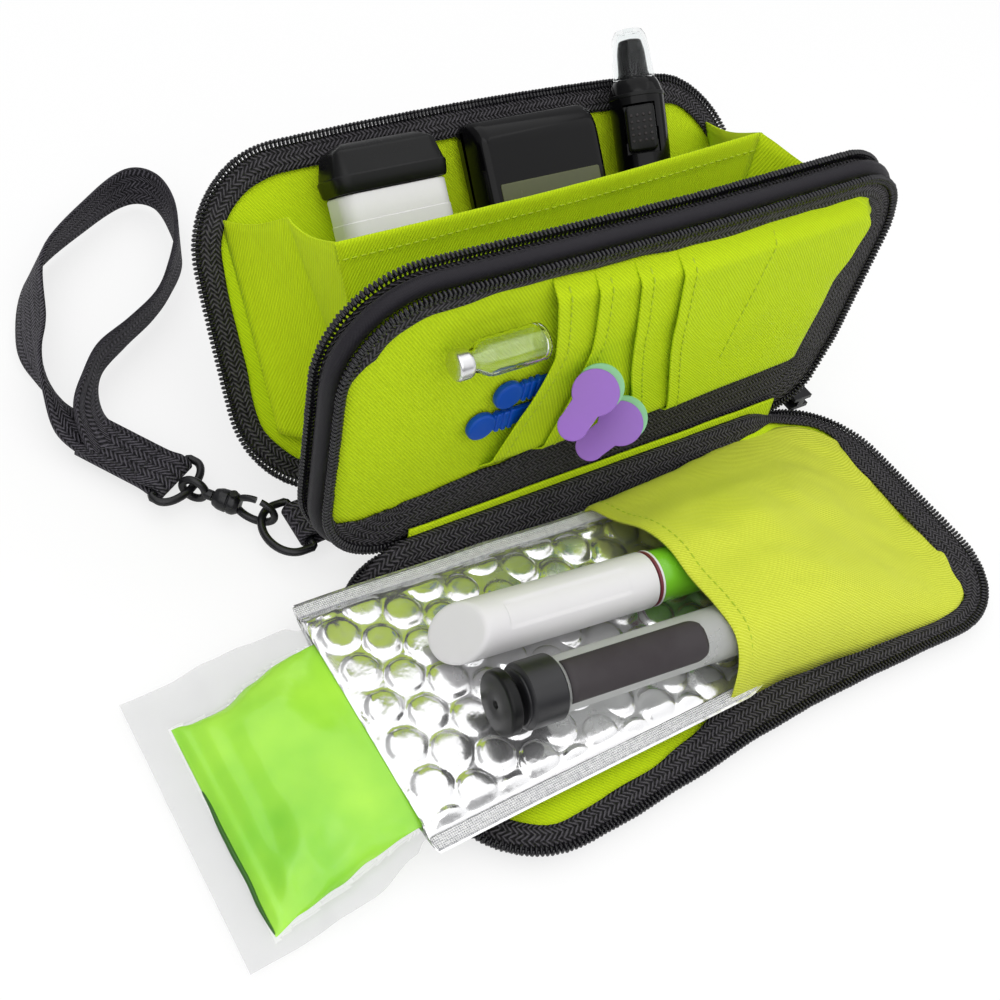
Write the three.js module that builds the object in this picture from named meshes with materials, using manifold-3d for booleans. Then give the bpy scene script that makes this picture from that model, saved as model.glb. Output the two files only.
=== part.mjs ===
import * as THREE from "three";
import { mergeVertices } from "three/addons/utils/BufferGeometryUtils.js";
import Module from "manifold-3d";

const wasm = await Module();
wasm.setup();

// Case panels
const caseLength = 204;
const coverHeight = 96;
const cornerRadius = 28;
const shellThickness = 3.4;
const liningThickness = 1;
const seamGap = 0.3;
const tapeWidth = 11;
const coverTapeWidth = 5.4;
const tapeThickness = 0.8;
const chainRadius = 1.5;
const fabricThickness = 0.8;

// Divider
const boardHalf = 2.2;
const dividerLean = 91.6;
const dividerFoot = 8;

// Spine and back cover
const backFoldY = 27;
const backFoldZ = 6;
const backLean = 133;
const spineSlack = 2;
const pocketLean = 105;
const pocketHeight = 88;
const pocketRise = 5;
const pocketSide = 18;
const pocketLeft = pocketSide - caseLength / 2;
const pocketRightEnd = 60;
const pocketTaper = 16;
const gussetTuck = 12;

// Card slots on the divider: each hem's place at the top, at its bulge and at the foot
const slotLift = 3.1;
const slotStep = 1;
const hemBulge = 0.72;
const slotHems = [
  [-40.5, -36.5, -50],
  [-27.5, -24.5, -38],
  [-14.5, -10.5, -2],
  [0, 3, 11],
];

// Slip pocket on the front cover
const mouthX = -14;
const pocketCrown = 26;
const pocketEnd = 12;

// Foil pouch and gel pack
const pouchLip = -111.5;
const pouchEnd = 22;
const pouchMargin = 11;
const pouchWidth = coverHeight - 2 * pouchMargin;
const pouchTop = 15;
const pouchWall = 1;
const gelMargin = 3.5;
const gelWidth = pouchWidth - 2 * gelMargin;
const gelGap = 0.4;
const gelOut = 48.5;
const gelIn = 60;
const gelBulge = 12;

// Pens
const penYaw = -5.5;
const penTilt = 2.2;
const capRadius = 8.2;
const capLength = 66;
const bandLength = 1.5;
const penLength = 92;
const penRadius = 7.6;
const penEndX = -87;
const dialPenShift = 3;
const penSpacing = 23.6;
const penRow = 8.6;
const dialRadius = 7.2;
const flangeRadius = 9;
const buttonRadius = 8.8;
const buttonTravel = 2;
const stripLength = 44;
const neckLength = 9;

// Devices in the gusseted pocket
const meterWidth = 50;
const meterHeight = 82;
const meterDepth = 15.6;
const displayWidth = 43;
const displayHeight = 27;
const displayUp = 10;
const meterX = 10;
const meterFoot = 10;
const keyTravel = 0.8;
const vialWidth = 41;
const vialDepth = 20;
const vialInset = 37.5;
const vialX = pocketLeft + vialInset;
const vialTopGap = 4.1;
const vialHeight = 49.8;
const vialCapHeight = 11.8;
const vialFoot = coverHeight - vialTopGap - vialCapHeight - seamGap - vialHeight;
const lancerRadius = 9;
const lancerX = 46.8;
const lancerTilt = 5;
const lancerTurn = -35;
const lancerFoot = 8;
const lancerLength = 90;
const lancerCapLength = 15.5;

// Small supplies on the divider
const ampouleRadius = 6.2;
const ampouleLength = 25.5;
const ampouleHeight = 74.5;
const crimpLength = 5;
const lancetRadius = 4.5;
const lancetDepth = 2.4;
const lancetPlaces = [[-47, 51.9], [-54, 42.7]];
const needleRadius = 6.3;
const needleLength = 13;
const tabRadius = 7.6;
const tabLobe = 5.6;
const needlePlaces = [[-27.2, 55.4, 18.1], [-13.1, 38.3, 18]];
const needleTurns = [-65, -83];

// Strap hardware
const wireRadius = 1.2;
const ringReach = 11;
const ringHalf = 8;
const bowShare = 0.65;
const tabThickness = 6;
const claspAim = 130.8;
const strapAim = 122;
const claspLoop = 6;
const claspBarrel = 8;
const eyeRadius = 3.6;
const strapWidth = 15;
const strapThickness = 1.6;
const sewnLength = 27;
const sliderLength = 8;

const toRadians = Math.PI / 180;
const cornerSteps = 6;
const root = new THREE.Group();
root.name = "insulin_cooling_case";

const cloths = {
  shell: new THREE.MeshStandardMaterial({ color: 0x1c1a20, roughness: 0.8, metalness: 0 }),
  lining: new THREE.MeshStandardMaterial({ color: 0xb9d816, roughness: 0.75, metalness: 0 }),
  tape: new THREE.MeshStandardMaterial({ color: 0x17161a, roughness: 0.9, metalness: 0 }),
  chain: new THREE.MeshStandardMaterial({ color: 0x141417, roughness: 0.45, metalness: 0 }),
  webbing: new THREE.MeshStandardMaterial({ color: 0x1a1a1f, roughness: 0.85, metalness: 0 }),
};
const metals = {
  black: new THREE.MeshStandardMaterial({ color: 0x1b1b1e, roughness: 0.35, metalness: 0.7 }),
  silver: new THREE.MeshStandardMaterial({ color: 0xc9c9cc, roughness: 0.3, metalness: 1 }),
  foil: new THREE.MeshStandardMaterial({ color: 0xd8d8d8, roughness: 0.15, metalness: 1 }),
};
const plastics = {
  white: new THREE.MeshStandardMaterial({ color: 0xeceaec, roughness: 0.3, metalness: 0 }),
  green: new THREE.MeshStandardMaterial({ color: 0x8fce1e, roughness: 0.35, metalness: 0 }),
  dark: new THREE.MeshStandardMaterial({ color: 0x3a363a, roughness: 0.4, metalness: 0 }),
  black: new THREE.MeshStandardMaterial({ color: 0x141416, roughness: 0.25, metalness: 0 }),
  grey: new THREE.MeshStandardMaterial({ color: 0xb9bcc0, roughness: 0.35, metalness: 0 }),
  display: new THREE.MeshStandardMaterial({ color: 0x4a4f2c, roughness: 0.1, metalness: 0 }),
  clear: new THREE.MeshStandardMaterial({ color: 0xe6ebec, roughness: 0.05, metalness: 0 }),
  gel: new THREE.MeshStandardMaterial({ color: 0x82dc28, roughness: 0.2, metalness: 0 }),
  blue: new THREE.MeshStandardMaterial({ color: 0x0a55be, roughness: 0.35, metalness: 0 }),
  purple: new THREE.MeshStandardMaterial({ color: 0x9663c4, roughness: 0.5, metalness: 0 }),
};

function solidOf(geometry) {
  const bare = new THREE.BufferGeometry();
  bare.setAttribute("position", geometry.getAttribute("position").clone());
  if (geometry.index) bare.setIndex(geometry.index.clone());
  const welded = mergeVertices(bare, 1e-4);
  return new wasm.Manifold(new wasm.Mesh({
    numProp: 3,
    vertProperties: new Float32Array(welded.getAttribute("position").array),
    triVerts: new Uint32Array(welded.index.array),
  }));
}

function geometryOf(solid) {
  const mesh = solid.getMesh();
  const geometry = new THREE.BufferGeometry();
  geometry.setAttribute("position", new THREE.BufferAttribute(new Float32Array(mesh.vertProperties), 3));
  geometry.setIndex(new THREE.BufferAttribute(new Uint32Array(mesh.triVerts), 1));
  geometry.computeVertexNormals();
  return geometry;
}

function join(...pieces) {
  return geometryOf(pieces.map(solidOf).reduce((whole, piece) => whole.add(piece)));
}

function cut(body, ...tools) {
  return geometryOf(tools.map(solidOf).reduce((whole, tool) => whole.subtract(tool), solidOf(body)));
}

// A closed surface from points and faces, turned so that its faces look outward
function closedBody(points, index) {
  let volume = 0;
  for (let i = 0; i < index.length; i += 3) {
    const [a, b, c] = [points[index[i]], points[index[i + 1]], points[index[i + 2]]];
    volume += a.dot(b.clone().cross(c));
  }
  if (volume < 0) index.reverse();
  const geometry = new THREE.BufferGeometry().setFromPoints(points);
  geometry.setIndex(index);
  geometry.computeVertexNormals();
  return geometry;
}

// Sections with the same number of points, skinned one to the next
function loft(sections, closed = false) {
  const count = sections[0].length;
  const index = [];
  const spans = closed ? sections.length : sections.length - 1;
  for (let i = 0; i < spans; i++) {
    const a = i * count;
    const b = ((i + 1) % sections.length) * count;
    for (let j = 0; j < count; j++) {
      const k = (j + 1) % count;
      index.push(a + j, a + k, b + k, a + j, b + k, b + j);
    }
  }
  const end = (sections.length - 1) * count;
  for (let j = 1; j < count - 1 && !closed; j++) {
    index.push(0, j + 1, j, end, end + j, end + j + 1);
  }
  return closedBody(sections.flat(), index);
}

function cornerArc(corner, width, height, radius, offset, level, steps = cornerSteps) {
  const centreX = (corner === 0 || corner === 3 ? 1 : -1) * (width / 2 - radius);
  const centreY = (corner < 2 ? 1 : -1) * (height / 2 - radius);
  return Array.from({ length: steps + 1 }, (_, i) => {
    const turn = (corner + i / steps) * Math.PI / 2;
    const reach = radius + offset;
    return new THREE.Vector3(centreX + reach * Math.cos(turn), centreY + reach * Math.sin(turn), level);
  });
}

function roundedLoop(width, height, radius, offset, level, steps) {
  return [0, 1, 2, 3].flatMap((corner) => cornerArc(corner, width, height, radius, offset, level, steps));
}

// A rounded slab whose outline steps in or out by level: pairs of offset and level
function block(width, height, radius, levels, steps = 4) {
  return loft(levels.map(([offset, level]) => roundedLoop(width, height, radius, offset, level, steps)));
}

function panel(levels) {
  return block(caseLength, coverHeight, cornerRadius, levels, cornerSteps);
}

function panelRing(levels) {
  return loft(levels.map(([offset, level]) => {
    return roundedLoop(caseLength, coverHeight, cornerRadius, offset, level);
  }), true);
}

function tapeRing(outer, width, level, side) {
  const inner = -width - seamGap;
  const rise = 0.5 * side;
  return panelRing([
    [inner, level],
    [outer, level + rise],
    [outer, level + rise + tapeThickness * side],
    [inner, level + tapeThickness * side],
  ]);
}

// The zip chain runs round three sides; the spine side has none
function chainRun(offset, level, spineSide) {
  const order = spineSide > 0 ? [1, 2, 3, 0] : [3, 0, 1, 2];
  const sections = order.flatMap((corner) => {
    const path = cornerArc(corner, caseLength, coverHeight, cornerRadius, offset, level);
    return path.map((point, i) => {
      const turn = (corner + i / cornerSteps) * Math.PI / 2;
      return Array.from({ length: 6 }, (_, side) => {
        const angle = side * Math.PI / 3;
        const out = chainRadius * Math.cos(angle);
        const step = new THREE.Vector3(out * Math.cos(turn), out * Math.sin(turn), chainRadius * Math.sin(angle));
        return step.add(point);
      });
    });
  });
  return loft(sections);
}

// Thin cloth between two faces of a grid: place gives the lower face, lift the way to the upper one
function sheet(columns, rows, place, lift) {
  const points = [];
  for (let layer = 0; layer < 2; layer++) {
    for (const s of columns) {
      for (const t of rows) points.push(place(s, t).addScaledVector(lift, layer));
    }
  }
  const at = (layer, i, j) => (layer * columns.length + i) * rows.length + j;
  const index = [];
  const quad = (a, b, c, d) => index.push(a, b, c, a, c, d);
  const [lastI, lastJ] = [columns.length - 1, rows.length - 1];
  for (let i = 0; i < lastI; i++) {
    for (let j = 0; j < lastJ; j++) {
      quad(at(0, i, j), at(0, i, j + 1), at(0, i + 1, j + 1), at(0, i + 1, j));
      quad(at(1, i, j), at(1, i + 1, j), at(1, i + 1, j + 1), at(1, i, j + 1));
    }
    quad(at(0, i, 0), at(0, i + 1, 0), at(1, i + 1, 0), at(1, i, 0));
    quad(at(0, i + 1, lastJ), at(0, i, lastJ), at(1, i, lastJ), at(1, i + 1, lastJ));
  }
  for (let j = 0; j < lastJ; j++) {
    quad(at(0, 0, j + 1), at(0, 0, j), at(1, 0, j), at(1, 0, j + 1));
    quad(at(0, lastI, j), at(0, lastI, j + 1), at(1, lastI, j + 1), at(1, lastI, j));
  }
  return closedBody(points, index);
}

// A turned piece along Y: pairs of radius and height
function turned(profile, segments = 20) {
  return new THREE.LatheGeometry(profile.map(([radius, height]) => new THREE.Vector2(radius, height)), segments);
}

function alongX(geometry) {
  return geometry.rotateZ(-Math.PI / 2);
}

function box(width, depth, height, x, y, z) {
  return new THREE.BoxGeometry(width, depth, height).translate(x, y, z);
}

// A round wire along a closed or open run of points
function wire(points, radius, closed, sides = 6) {
  const curve = new THREE.CatmullRomCurve3(points, closed, "centripetal");
  const count = points.length * 2;
  const frames = curve.computeFrenetFrames(count, closed);
  const sections = Array.from({ length: closed ? count : count + 1 }, (_, i) => {
    const centre = curve.getPointAt(i / count);
    return Array.from({ length: sides }, (_, side) => {
      const angle = side / sides * 2 * Math.PI;
      return centre.clone()
        .addScaledVector(frames.normals[i], radius * Math.cos(angle))
        .addScaledVector(frames.binormals[i], radius * Math.sin(angle));
    });
  });
  return loft(sections, closed);
}

function add(parent, name, geometry, material) {
  const mesh = new THREE.Mesh(geometry, material);
  mesh.name = name;
  parent.add(mesh);
  return mesh;
}

function frameAt(x, y, z, lean) {
  const frame = new THREE.Group();
  frame.position.set(x, y, z);
  frame.rotation.x = Math.PI - lean * toRadians;
  root.add(frame);
  return frame;
}

// Front cover, lying flat with its lining up
const frontEdge = -boardHalf - liningThickness - spineSlack;
const frontCentre = frontEdge - coverHeight / 2;
const liningTop = shellThickness + seamGap + liningThickness;
const tapeFoot = liningTop + seamGap;
const chainOffset = chainRadius - seamGap;
const frontCover = new THREE.Group();
frontCover.position.y = frontCentre;
root.add(frontCover);
add(frontCover, "front_shell", panel([
  [-4, 0],
  [-0.8, shellThickness * 0.27],
  [0, shellThickness * 0.65],
  [-seamGap, shellThickness],
]), cloths.shell);
add(frontCover, "front_lining", panel([[-1.5, shellThickness + seamGap], [-1.5, liningTop]]), cloths.lining);
add(frontCover, "front_zip_tape", tapeRing(-2 * seamGap, coverTapeWidth, tapeFoot, 1), cloths.tape);
add(frontCover, "front_zip_chain", chainRun(chainOffset, tapeFoot + chainRadius / 2, 1), cloths.chain);

// Slip pocket, held up over the pens at its mouth and drawn down to the lining at its far end
const pocketHalf = coverHeight / 2 - coverTapeWidth - 2 * seamGap;
const pocketCorner = cornerRadius - coverTapeWidth;
const pocketRight = caseLength / 2 - coverTapeWidth - 2 * seamGap;
const pocketProfile = [
  [-1, 0], [-0.97, 0.28], [-0.89, 0.68], [-0.74, 0.95], [-0.49, 1], [-0.19, 0.97],
  [0.11, 1], [0.39, 0.86], [0.67, 0.55], [0.97, 0.28], [1, 0],
];
const pocketColumns = [0, 0.13, 0.27, 0.41, 0.54, 0.67, 0.78, 0.87, 0.94, 0.98];

function slipPocket(s, t) {
  const x = mouthX + s * (pocketRight - mouthX);
  const over = Math.max(0, x - (pocketRight - pocketCorner));
  const half = pocketHalf - pocketCorner + Math.sqrt(pocketCorner ** 2 - over ** 2);
  const fall = THREE.MathUtils.clamp((x - pocketEnd) / (pocketRight - pocketEnd), 0, 1);
  const crown = pocketCrown * (1 - 0.1 * s) * (0.5 + 0.5 * Math.cos(fall * Math.PI));
  const [across, up] = pocketProfile[t];
  return new THREE.Vector3(x, across * half, tapeFoot + up * crown);
}
const pocketRows = pocketProfile.map((_, i) => i);
const pocketLift = new THREE.Vector3(0, 0, fabricThickness);
add(frontCover, "slip_pocket", sheet(pocketColumns, pocketRows, slipPocket, pocketLift), cloths.lining);

// Divider standing on the spine, its local Y up the panel and local Z toward the front
const divider = frameAt(0, 0, dividerFoot, dividerLean);
const dividerPanel = new THREE.Group();
dividerPanel.position.y = coverHeight / 2;
divider.add(dividerPanel);
const pipingInset = 2 * boardHalf + seamGap;
const dividerFace = boardHalf + seamGap + liningThickness;
const dividerTape = dividerFace + seamGap;
add(dividerPanel, "divider_board", panel([[-pipingInset, -boardHalf], [-pipingInset, boardHalf]]), cloths.shell);
const pipingSection = Array.from({ length: 8 }, (_, i) => {
  const angle = i * Math.PI / 4;
  return [-boardHalf + boardHalf * Math.cos(angle), boardHalf * Math.sin(angle)];
});
add(dividerPanel, "divider_piping", panelRing(pipingSection), cloths.shell);
const liningInset = -pipingInset - 1;
const frontLevel = boardHalf + seamGap;
add(dividerPanel, "divider_front_lining", panel([[liningInset, frontLevel], [liningInset, dividerFace]]),
  cloths.lining);
add(dividerPanel, "divider_rear_lining", panel([[liningInset, -dividerFace], [liningInset, -frontLevel]]),
  cloths.lining);
const frontTapeEdge = -pipingInset;
const rearTapeEdge = -boardHalf - seamGap;
add(dividerPanel, "divider_front_tape", tapeRing(frontTapeEdge, tapeWidth, dividerTape, 1), cloths.tape);
add(dividerPanel, "divider_rear_tape", tapeRing(rearTapeEdge, tapeWidth, -dividerTape, -1), cloths.tape);
const chainLevel = dividerTape + tapeThickness + seamGap;
add(dividerPanel, "divider_front_chain", chainRun(frontTapeEdge + chainRadius + seamGap, chainLevel, -1),
  cloths.chain);
add(dividerPanel, "divider_rear_chain", chainRun(rearTapeEdge + chainRadius + seamGap, -chainLevel, -1),
  cloths.chain);

// Card slots: overlapping cloths, open toward the left and sewn down at the right
const slotHalf = coverHeight / 2 - tapeWidth - 2 * seamGap;
const slotCorner = cornerRadius - tapeWidth;
const slotRight = caseLength / 2 - tapeWidth - slotCorner * 0.45;
slotHems.forEach(([top, middle, foot], order) => {
  const level = dividerFace + slotLift + order * slotStep;
  const place = (s, t) => {
    const hem = t < hemBulge
      ? THREE.MathUtils.lerp(foot, middle, t / hemBulge)
      : THREE.MathUtils.lerp(middle, top, (t - hemBulge) / (1 - hemBulge));
    return new THREE.Vector3(hem + s * (slotRight - hem), (2 * t - 1) * slotHalf, level);
  };
  const thickness = new THREE.Vector3(0, 0, slotStep - 0.4);
  const cloth = sheet([0, 0.5, 1], [0.02, hemBulge / 2, hemBulge, 0.98], place, thickness);
  add(dividerPanel, `card_slot_${order + 1}`, cloth, cloths.lining);
});

// Back cover leaning on its gussets, local Z toward the divider
const backCover = frameAt(0, backFoldY, backFoldZ, backLean);
const backPanel = new THREE.Group();
backPanel.position.y = coverHeight / 2;
backCover.add(backPanel);
const backShellFace = -liningThickness - seamGap;
add(backPanel, "back_shell", panel([
  [-seamGap, backShellFace],
  [0, backShellFace - shellThickness * 0.35],
  [-0.8, backShellFace - shellThickness * 0.73],
  [-4, backShellFace - shellThickness],
]), cloths.shell);
add(backPanel, "back_lining", panel([[-1.5, -liningThickness], [-1.5, 0]]), cloths.lining);
add(backPanel, "back_zip_tape", tapeRing(-2 * seamGap, coverTapeWidth, seamGap, 1), cloths.tape);
add(backPanel, "back_zip_chain", chainRun(chainOffset, seamGap + chainRadius / 2, -1), cloths.chain);

// Spine under the divider
const spineHalf = caseLength / 2 - cornerRadius - 2;
const spineTop = dividerFoot - 2 * seamGap;
const spineFront = frontEdge + seamGap + spineSlack;
const spineBack = backFoldY - shellThickness;
const spineMiddle = (spineFront + spineBack) / 2;
add(root, "spine_base", box(2 * spineHalf, spineBack - spineFront, spineTop, 0, spineMiddle, spineTop / 2),
  cloths.shell);
const stripHeight = dividerFoot + pipingInset - 2 * seamGap - 2;
const stripY = spineFront - liningThickness / 2 - seamGap;
add(root, "spine_front_lining", box(2 * spineHalf, liningThickness, stripHeight, 0, stripY, 2 + stripHeight / 2),
  cloths.lining);

// Gusseted pocket: its front stands behind the divider, its sides reach to the back cover;
// the left side has a fold inward, and the right side turns at the pocket's corner to meet the divider
const pocketFootY = 10;
const pocketFrame = frameAt(0, pocketFootY, spineTop + seamGap, pocketLean);
add(pocketFrame, "gusset_pocket_front", sheet(
  [0, 0.25, 0.5, 0.75, 1],
  [0, 0.5, 1],
  (s, t) => {
    const inset = pocketTaper * (1 - t);
    const x = THREE.MathUtils.lerp(pocketLeft + inset, pocketRightEnd - inset, s);
    return new THREE.Vector3(x, t * (pocketHeight + s * pocketRise), 0);
  },
  new THREE.Vector3(0, 0, fabricThickness),
), cloths.lining);
root.updateMatrixWorld(true);
const gussetSeam = caseLength / 2 - coverTapeWidth - 5.6;
const rearSeam = caseLength / 2 - tapeWidth - 7;
const gussetLift = new THREE.Vector3(fabricThickness, 0, 0);
const rearLevel = -dividerTape - tapeThickness - 1;
for (const [name, side, end] of [["gusset_left", -1, pocketLeft], ["gusset_right", 1, pocketRightEnd]]) {
  const place = (s, t) => {
    const inset = pocketTaper * (1 - t);
    const rise = side > 0 ? pocketRise : 0;
    const onBack = new THREE.Vector3(side * gussetSeam, THREE.MathUtils.lerp(18, coverHeight - 18, t), 2 * seamGap);
    const onFront = new THREE.Vector3(end - side * inset, 2 + t * (pocketHeight + rise - 2), -2 * seamGap);
    const onDivider = new THREE.Vector3(rearSeam - inset, 14 + t * (pocketHeight - 20), rearLevel);
    backCover.localToWorld(onBack);
    pocketFrame.localToWorld(onFront);
    divider.localToWorld(onDivider);
    const fold = side > 0 ? onFront.clone() : onBack.clone().lerp(onFront, 0.5);
    fold.x += side > 0 ? 1 : gussetTuck * (0.25 + 0.75 * t);
    const far = side > 0 ? onDivider : onFront;
    return s < 0.5 ? onBack.lerp(fold, 2 * s) : fold.lerp(far, 2 * s - 1);
  };
  add(root, name, sheet([0, 0.5, 1], [0, 0.35, 0.7, 1], place, gussetLift), cloths.lining);
}

// Zip sliders parked at the right ends of the chains, each with its pull
const sliderHeight = 5.6;
const sliderFoot = 4.6;
const pullLength = 8.4;
const sliderWidth = 5.6;
const sliderPlaces = [
  ["front", caseLength / 2 - 11.5, frontEdge + spineSlack + 1],
  ["rear", caseLength / 2 - cornerRadius + 4, chainLevel + chainRadius + sliderWidth / 2 + 2 * seamGap],
];
for (const [name, sliderX, y] of sliderPlaces) {
  const body = join(
    box(sliderLength, sliderWidth, 1.5, sliderX, y, sliderFoot + 0.75),
    box(sliderLength * 0.35, sliderWidth, sliderHeight, sliderX, y, sliderFoot + sliderHeight / 2),
    box(sliderLength, sliderWidth, 1.5, sliderX, y, sliderFoot + sliderHeight - 0.75),
  );
  add(root, `${name}_zip_slider`, body, metals.black);
  const pullY = y + sliderWidth / 2 + seamGap + pullLength / 2;
  const pull = block(3.4, pullLength, 1.2, [[0, 0], [0, 1.2]]);
  add(root, `${name}_zip_pull`, pull.translate(sliderX, pullY, sliderFoot + sliderHeight / 2), metals.black);
}

// Strap tab with its ring at the left end of the spine
const tabX = -spineHalf - seamGap;
const tabReach = 25.6;
const barX = tabX - tabReach + tabThickness / 2;
const tabY = 15.5;
const tabZ = 7;
const tabWidth = 2 * ringHalf - 3;
const tabBody = join(
  box(tabReach - tabThickness / 2, tabWidth, tabThickness, tabX - (tabReach - tabThickness / 2) / 2, tabY, tabZ),
  turned([
    [0, -tabWidth / 2], [tabThickness / 2, -tabWidth / 2], [tabThickness / 2, tabWidth / 2], [0, tabWidth / 2],
  ], 12).translate(barX, tabY, tabZ),
);
const boreRadius = wireRadius + 2 * seamGap;
const bore = turned([[0, -tabWidth], [boreRadius, -tabWidth], [boreRadius, tabWidth], [0, tabWidth]], 12)
  .translate(barX, tabY, tabZ);
add(root, "strap_tab", cut(tabBody, bore), cloths.webbing);

// A D ring lying level: straight bar at the origin along Y, bow toward negative X
function bowPoint(half, reach, turn) {
  return new THREE.Vector3(reach * (bowShare - 1 + bowShare * Math.cos(turn)), half * Math.sin(turn), 0);
}

function levelRing(half, reach) {
  const bow = Array.from({ length: 7 }, (_, i) => bowPoint(half, reach, (0.5 + i / 6) * Math.PI));
  return wire([...bow, new THREE.Vector3(0, -half, 0), new THREE.Vector3(0, -half / 3, 0),
    new THREE.Vector3(0, half / 3, 0), new THREE.Vector3(0, half, 0)], wireRadius, true);
}
const ringBow = ringHalf + wireRadius;
const claspTurn = claspAim * toRadians;
add(root, "case_ring", levelRing(ringBow, ringReach).translate(barX, tabY, tabZ), metals.black);

// Swivel clasp hooked on the bow of the ring, pointing along local X toward the strap
const clasp = new THREE.Group();
const bowTurn = Math.atan2(ringBow * Math.sin(claspTurn), ringReach * bowShare * Math.cos(claspTurn));
const linkPlace = bowPoint(ringBow, ringReach, bowTurn);
clasp.position.set(barX + linkPlace.x, tabY + linkPlace.y, tabZ);
clasp.rotation.z = claspTurn;
root.add(clasp);
const loopMiddle = claspLoop - wireRadius * 2.5 - seamGap;
const loopHeight = 4.4;

function hookPoint(turn) {
  const x = loopMiddle + claspLoop * Math.cos(turn);
  return new THREE.Vector3(x, 0, loopHeight * Math.sin(turn));
}
const hookRun = Array.from({ length: 8 }, (_, i) => hookPoint((-0.05 - i * 0.195) * Math.PI));
const gateRun = Array.from({ length: 4 }, (_, i) => hookPoint((0.25 + i * 0.085) * Math.PI));
const barrelStart = loopMiddle + claspLoop - wireRadius;
const barrel = turned([
  [0, 0], [2.4, 0], [3.2, 2], [3.2, claspBarrel - 3], [2.2, claspBarrel], [0, claspBarrel],
], 12);
const hookBody = join(wire(hookRun, wireRadius, false), alongX(barrel).translate(barrelStart, 0, -0.6));
const gateBody = wire(gateRun, wireRadius * 0.85, false);
add(clasp, "clasp_hook", hookBody, metals.black);
add(clasp, "clasp_gate", gateBody, metals.black);
const eyeX = barrelStart + claspBarrel + seamGap + 2.4 + eyeRadius;
const eyeRun = Array.from({ length: 8 }, (_, i) => {
  const turn = i * Math.PI / 4;
  return new THREE.Vector3(eyeX + eyeRadius * Math.cos(turn), 0, -0.6 + eyeRadius * Math.sin(turn));
});
const eyePost = turned([[0, 0], [1.6, 0], [1.6, 2.6], [0, 2.6]], 10);
const eyeBody = join(
  wire(eyeRun, wireRadius, true),
  alongX(eyePost).translate(barrelStart + claspBarrel + seamGap, 0, -0.6),
);
add(clasp, "clasp_eye", eyeBody, metals.black);

// Strap ring through the eye, and the webbing folded round its bar
const strapEnd = new THREE.Group();
const linkX = eyeX + eyeRadius - 2.4 * wireRadius;
strapEnd.position.set(linkX, 0, -0.6);
const strapTurn = strapAim * toRadians;
strapEnd.rotation.z = strapTurn - claspTurn;
clasp.add(strapEnd);
const strapRingReach = 7.5;
const strapRingHalf = strapWidth / 2 + wireRadius + 0.6;
const strapRing = levelRing(strapRingHalf, strapRingReach).translate(strapRingReach, 0, 0);
add(strapEnd, "strap_ring", strapRing, metals.black);

// Webbing swept along a run of points; each has a place and the tilt of the band across it
function webbing(run, thickness) {
  const curve = new THREE.CatmullRomCurve3(run.map(([x, y, z]) => new THREE.Vector3(x, y, z)), false, "centripetal");
  const count = run.length * 3;
  const sections = Array.from({ length: count + 1 }, (_, i) => {
    const u = i / count;
    const seat = u * (run.length - 1);
    const before = Math.min(Math.floor(seat), run.length - 2);
    const tilt = THREE.MathUtils.lerp(run[before][3], run[before + 1][3], seat - before) * toRadians;
    const centre = curve.getPoint(u);
    const ahead = curve.getTangent(u);
    const level = new THREE.Vector3(-ahead.y, ahead.x, 0).normalize();
    const upward = ahead.clone().cross(level).multiplyScalar(-1);
    if (upward.z < 0) upward.multiplyScalar(-1);
    const across = level.clone().multiplyScalar(Math.cos(tilt)).addScaledVector(upward, Math.sin(tilt));
    const through = ahead.clone().cross(across);
    return [[1, 1], [1, -1], [-1, -1], [-1, 1]].map(([a, b]) => centre.clone()
      .addScaledVector(across, a * strapWidth / 2)
      .addScaledVector(through, b * thickness / 2));
  });
  return loft(sections);
}
root.updateMatrixWorld(true);
const foldAt = strapEnd.localToWorld(new THREE.Vector3(strapRingReach, 0, 0));
const sewnTo = strapEnd.localToWorld(new THREE.Vector3(strapRingReach + sewnLength, 0, 0));
const foldRadius = strapThickness + boreRadius;
const sewnZ = foldAt.z;
const foldRoll = turned([
  [0, -strapWidth / 2], [foldRadius, -strapWidth / 2], [foldRadius, strapWidth / 2], [0, strapWidth / 2],
], 12);
const foldBore = turned([
  [0, -strapWidth], [boreRadius, -strapWidth], [boreRadius, strapWidth], [0, strapWidth],
], 12);
const sewn = new THREE.BoxGeometry(sewnLength, strapWidth, 2 * strapThickness).translate(sewnLength / 2, 0, 0);
const sewnEnd = cut(join(sewn, foldRoll), foldBore).rotateZ(strapTurn).translate(foldAt.x, foldAt.y, sewnZ);
const loopRun = [
  [sewnTo.x + 2.6, sewnTo.y - 4.2, sewnZ - 0.7, 2],
  [sewnTo.x - 2.4, sewnTo.y + 5, sewnZ, 14],
  [-139.5, 84, 8.6, 42],
  [-140, 98, 9.2, 72],
  [-137, 114, 9.2, 86],
  [-123.5, 141, 9.2, 90],
  [-102, 161.5, 9.2, 90],
  [-86, 171, 9.2, 90],
  [-77, 167, 9.2, 90],
  [-75.5, 154, 9.2, 90],
  [-79.5, 139, 9.2, 92],
  [-89, 124.5, 9.2, 96],
  [-98.5, 114, 9.2, 100],
  [-111, 105, 9.4, 106],
  [-123, 96.5, 9.4, 112],
  [-130, 85, 9.2, 128],
  [sewnTo.x + 2.6, sewnTo.y + 5.5, sewnZ + 1.8, 160],
  [sewnTo.x + 4.2, sewnTo.y - 7, sewnZ + 0.7, 180],
];
add(root, "wrist_strap", join(sewnEnd, webbing(loopRun, strapThickness)), cloths.webbing);

// Foil pouch: flat sleeve, open at the left, lying across the zip at that end
const chainCrest = tapeFoot + 1.5 * chainRadius + seamGap;
const pouchSlope = Math.tan(penTilt * toRadians);
const sleeveFoot = chainCrest + pouchWall;
const sleeveTop = pouchTop - 2.2;
const sleeveEnd = pouchLip + gelIn + 5;

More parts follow.
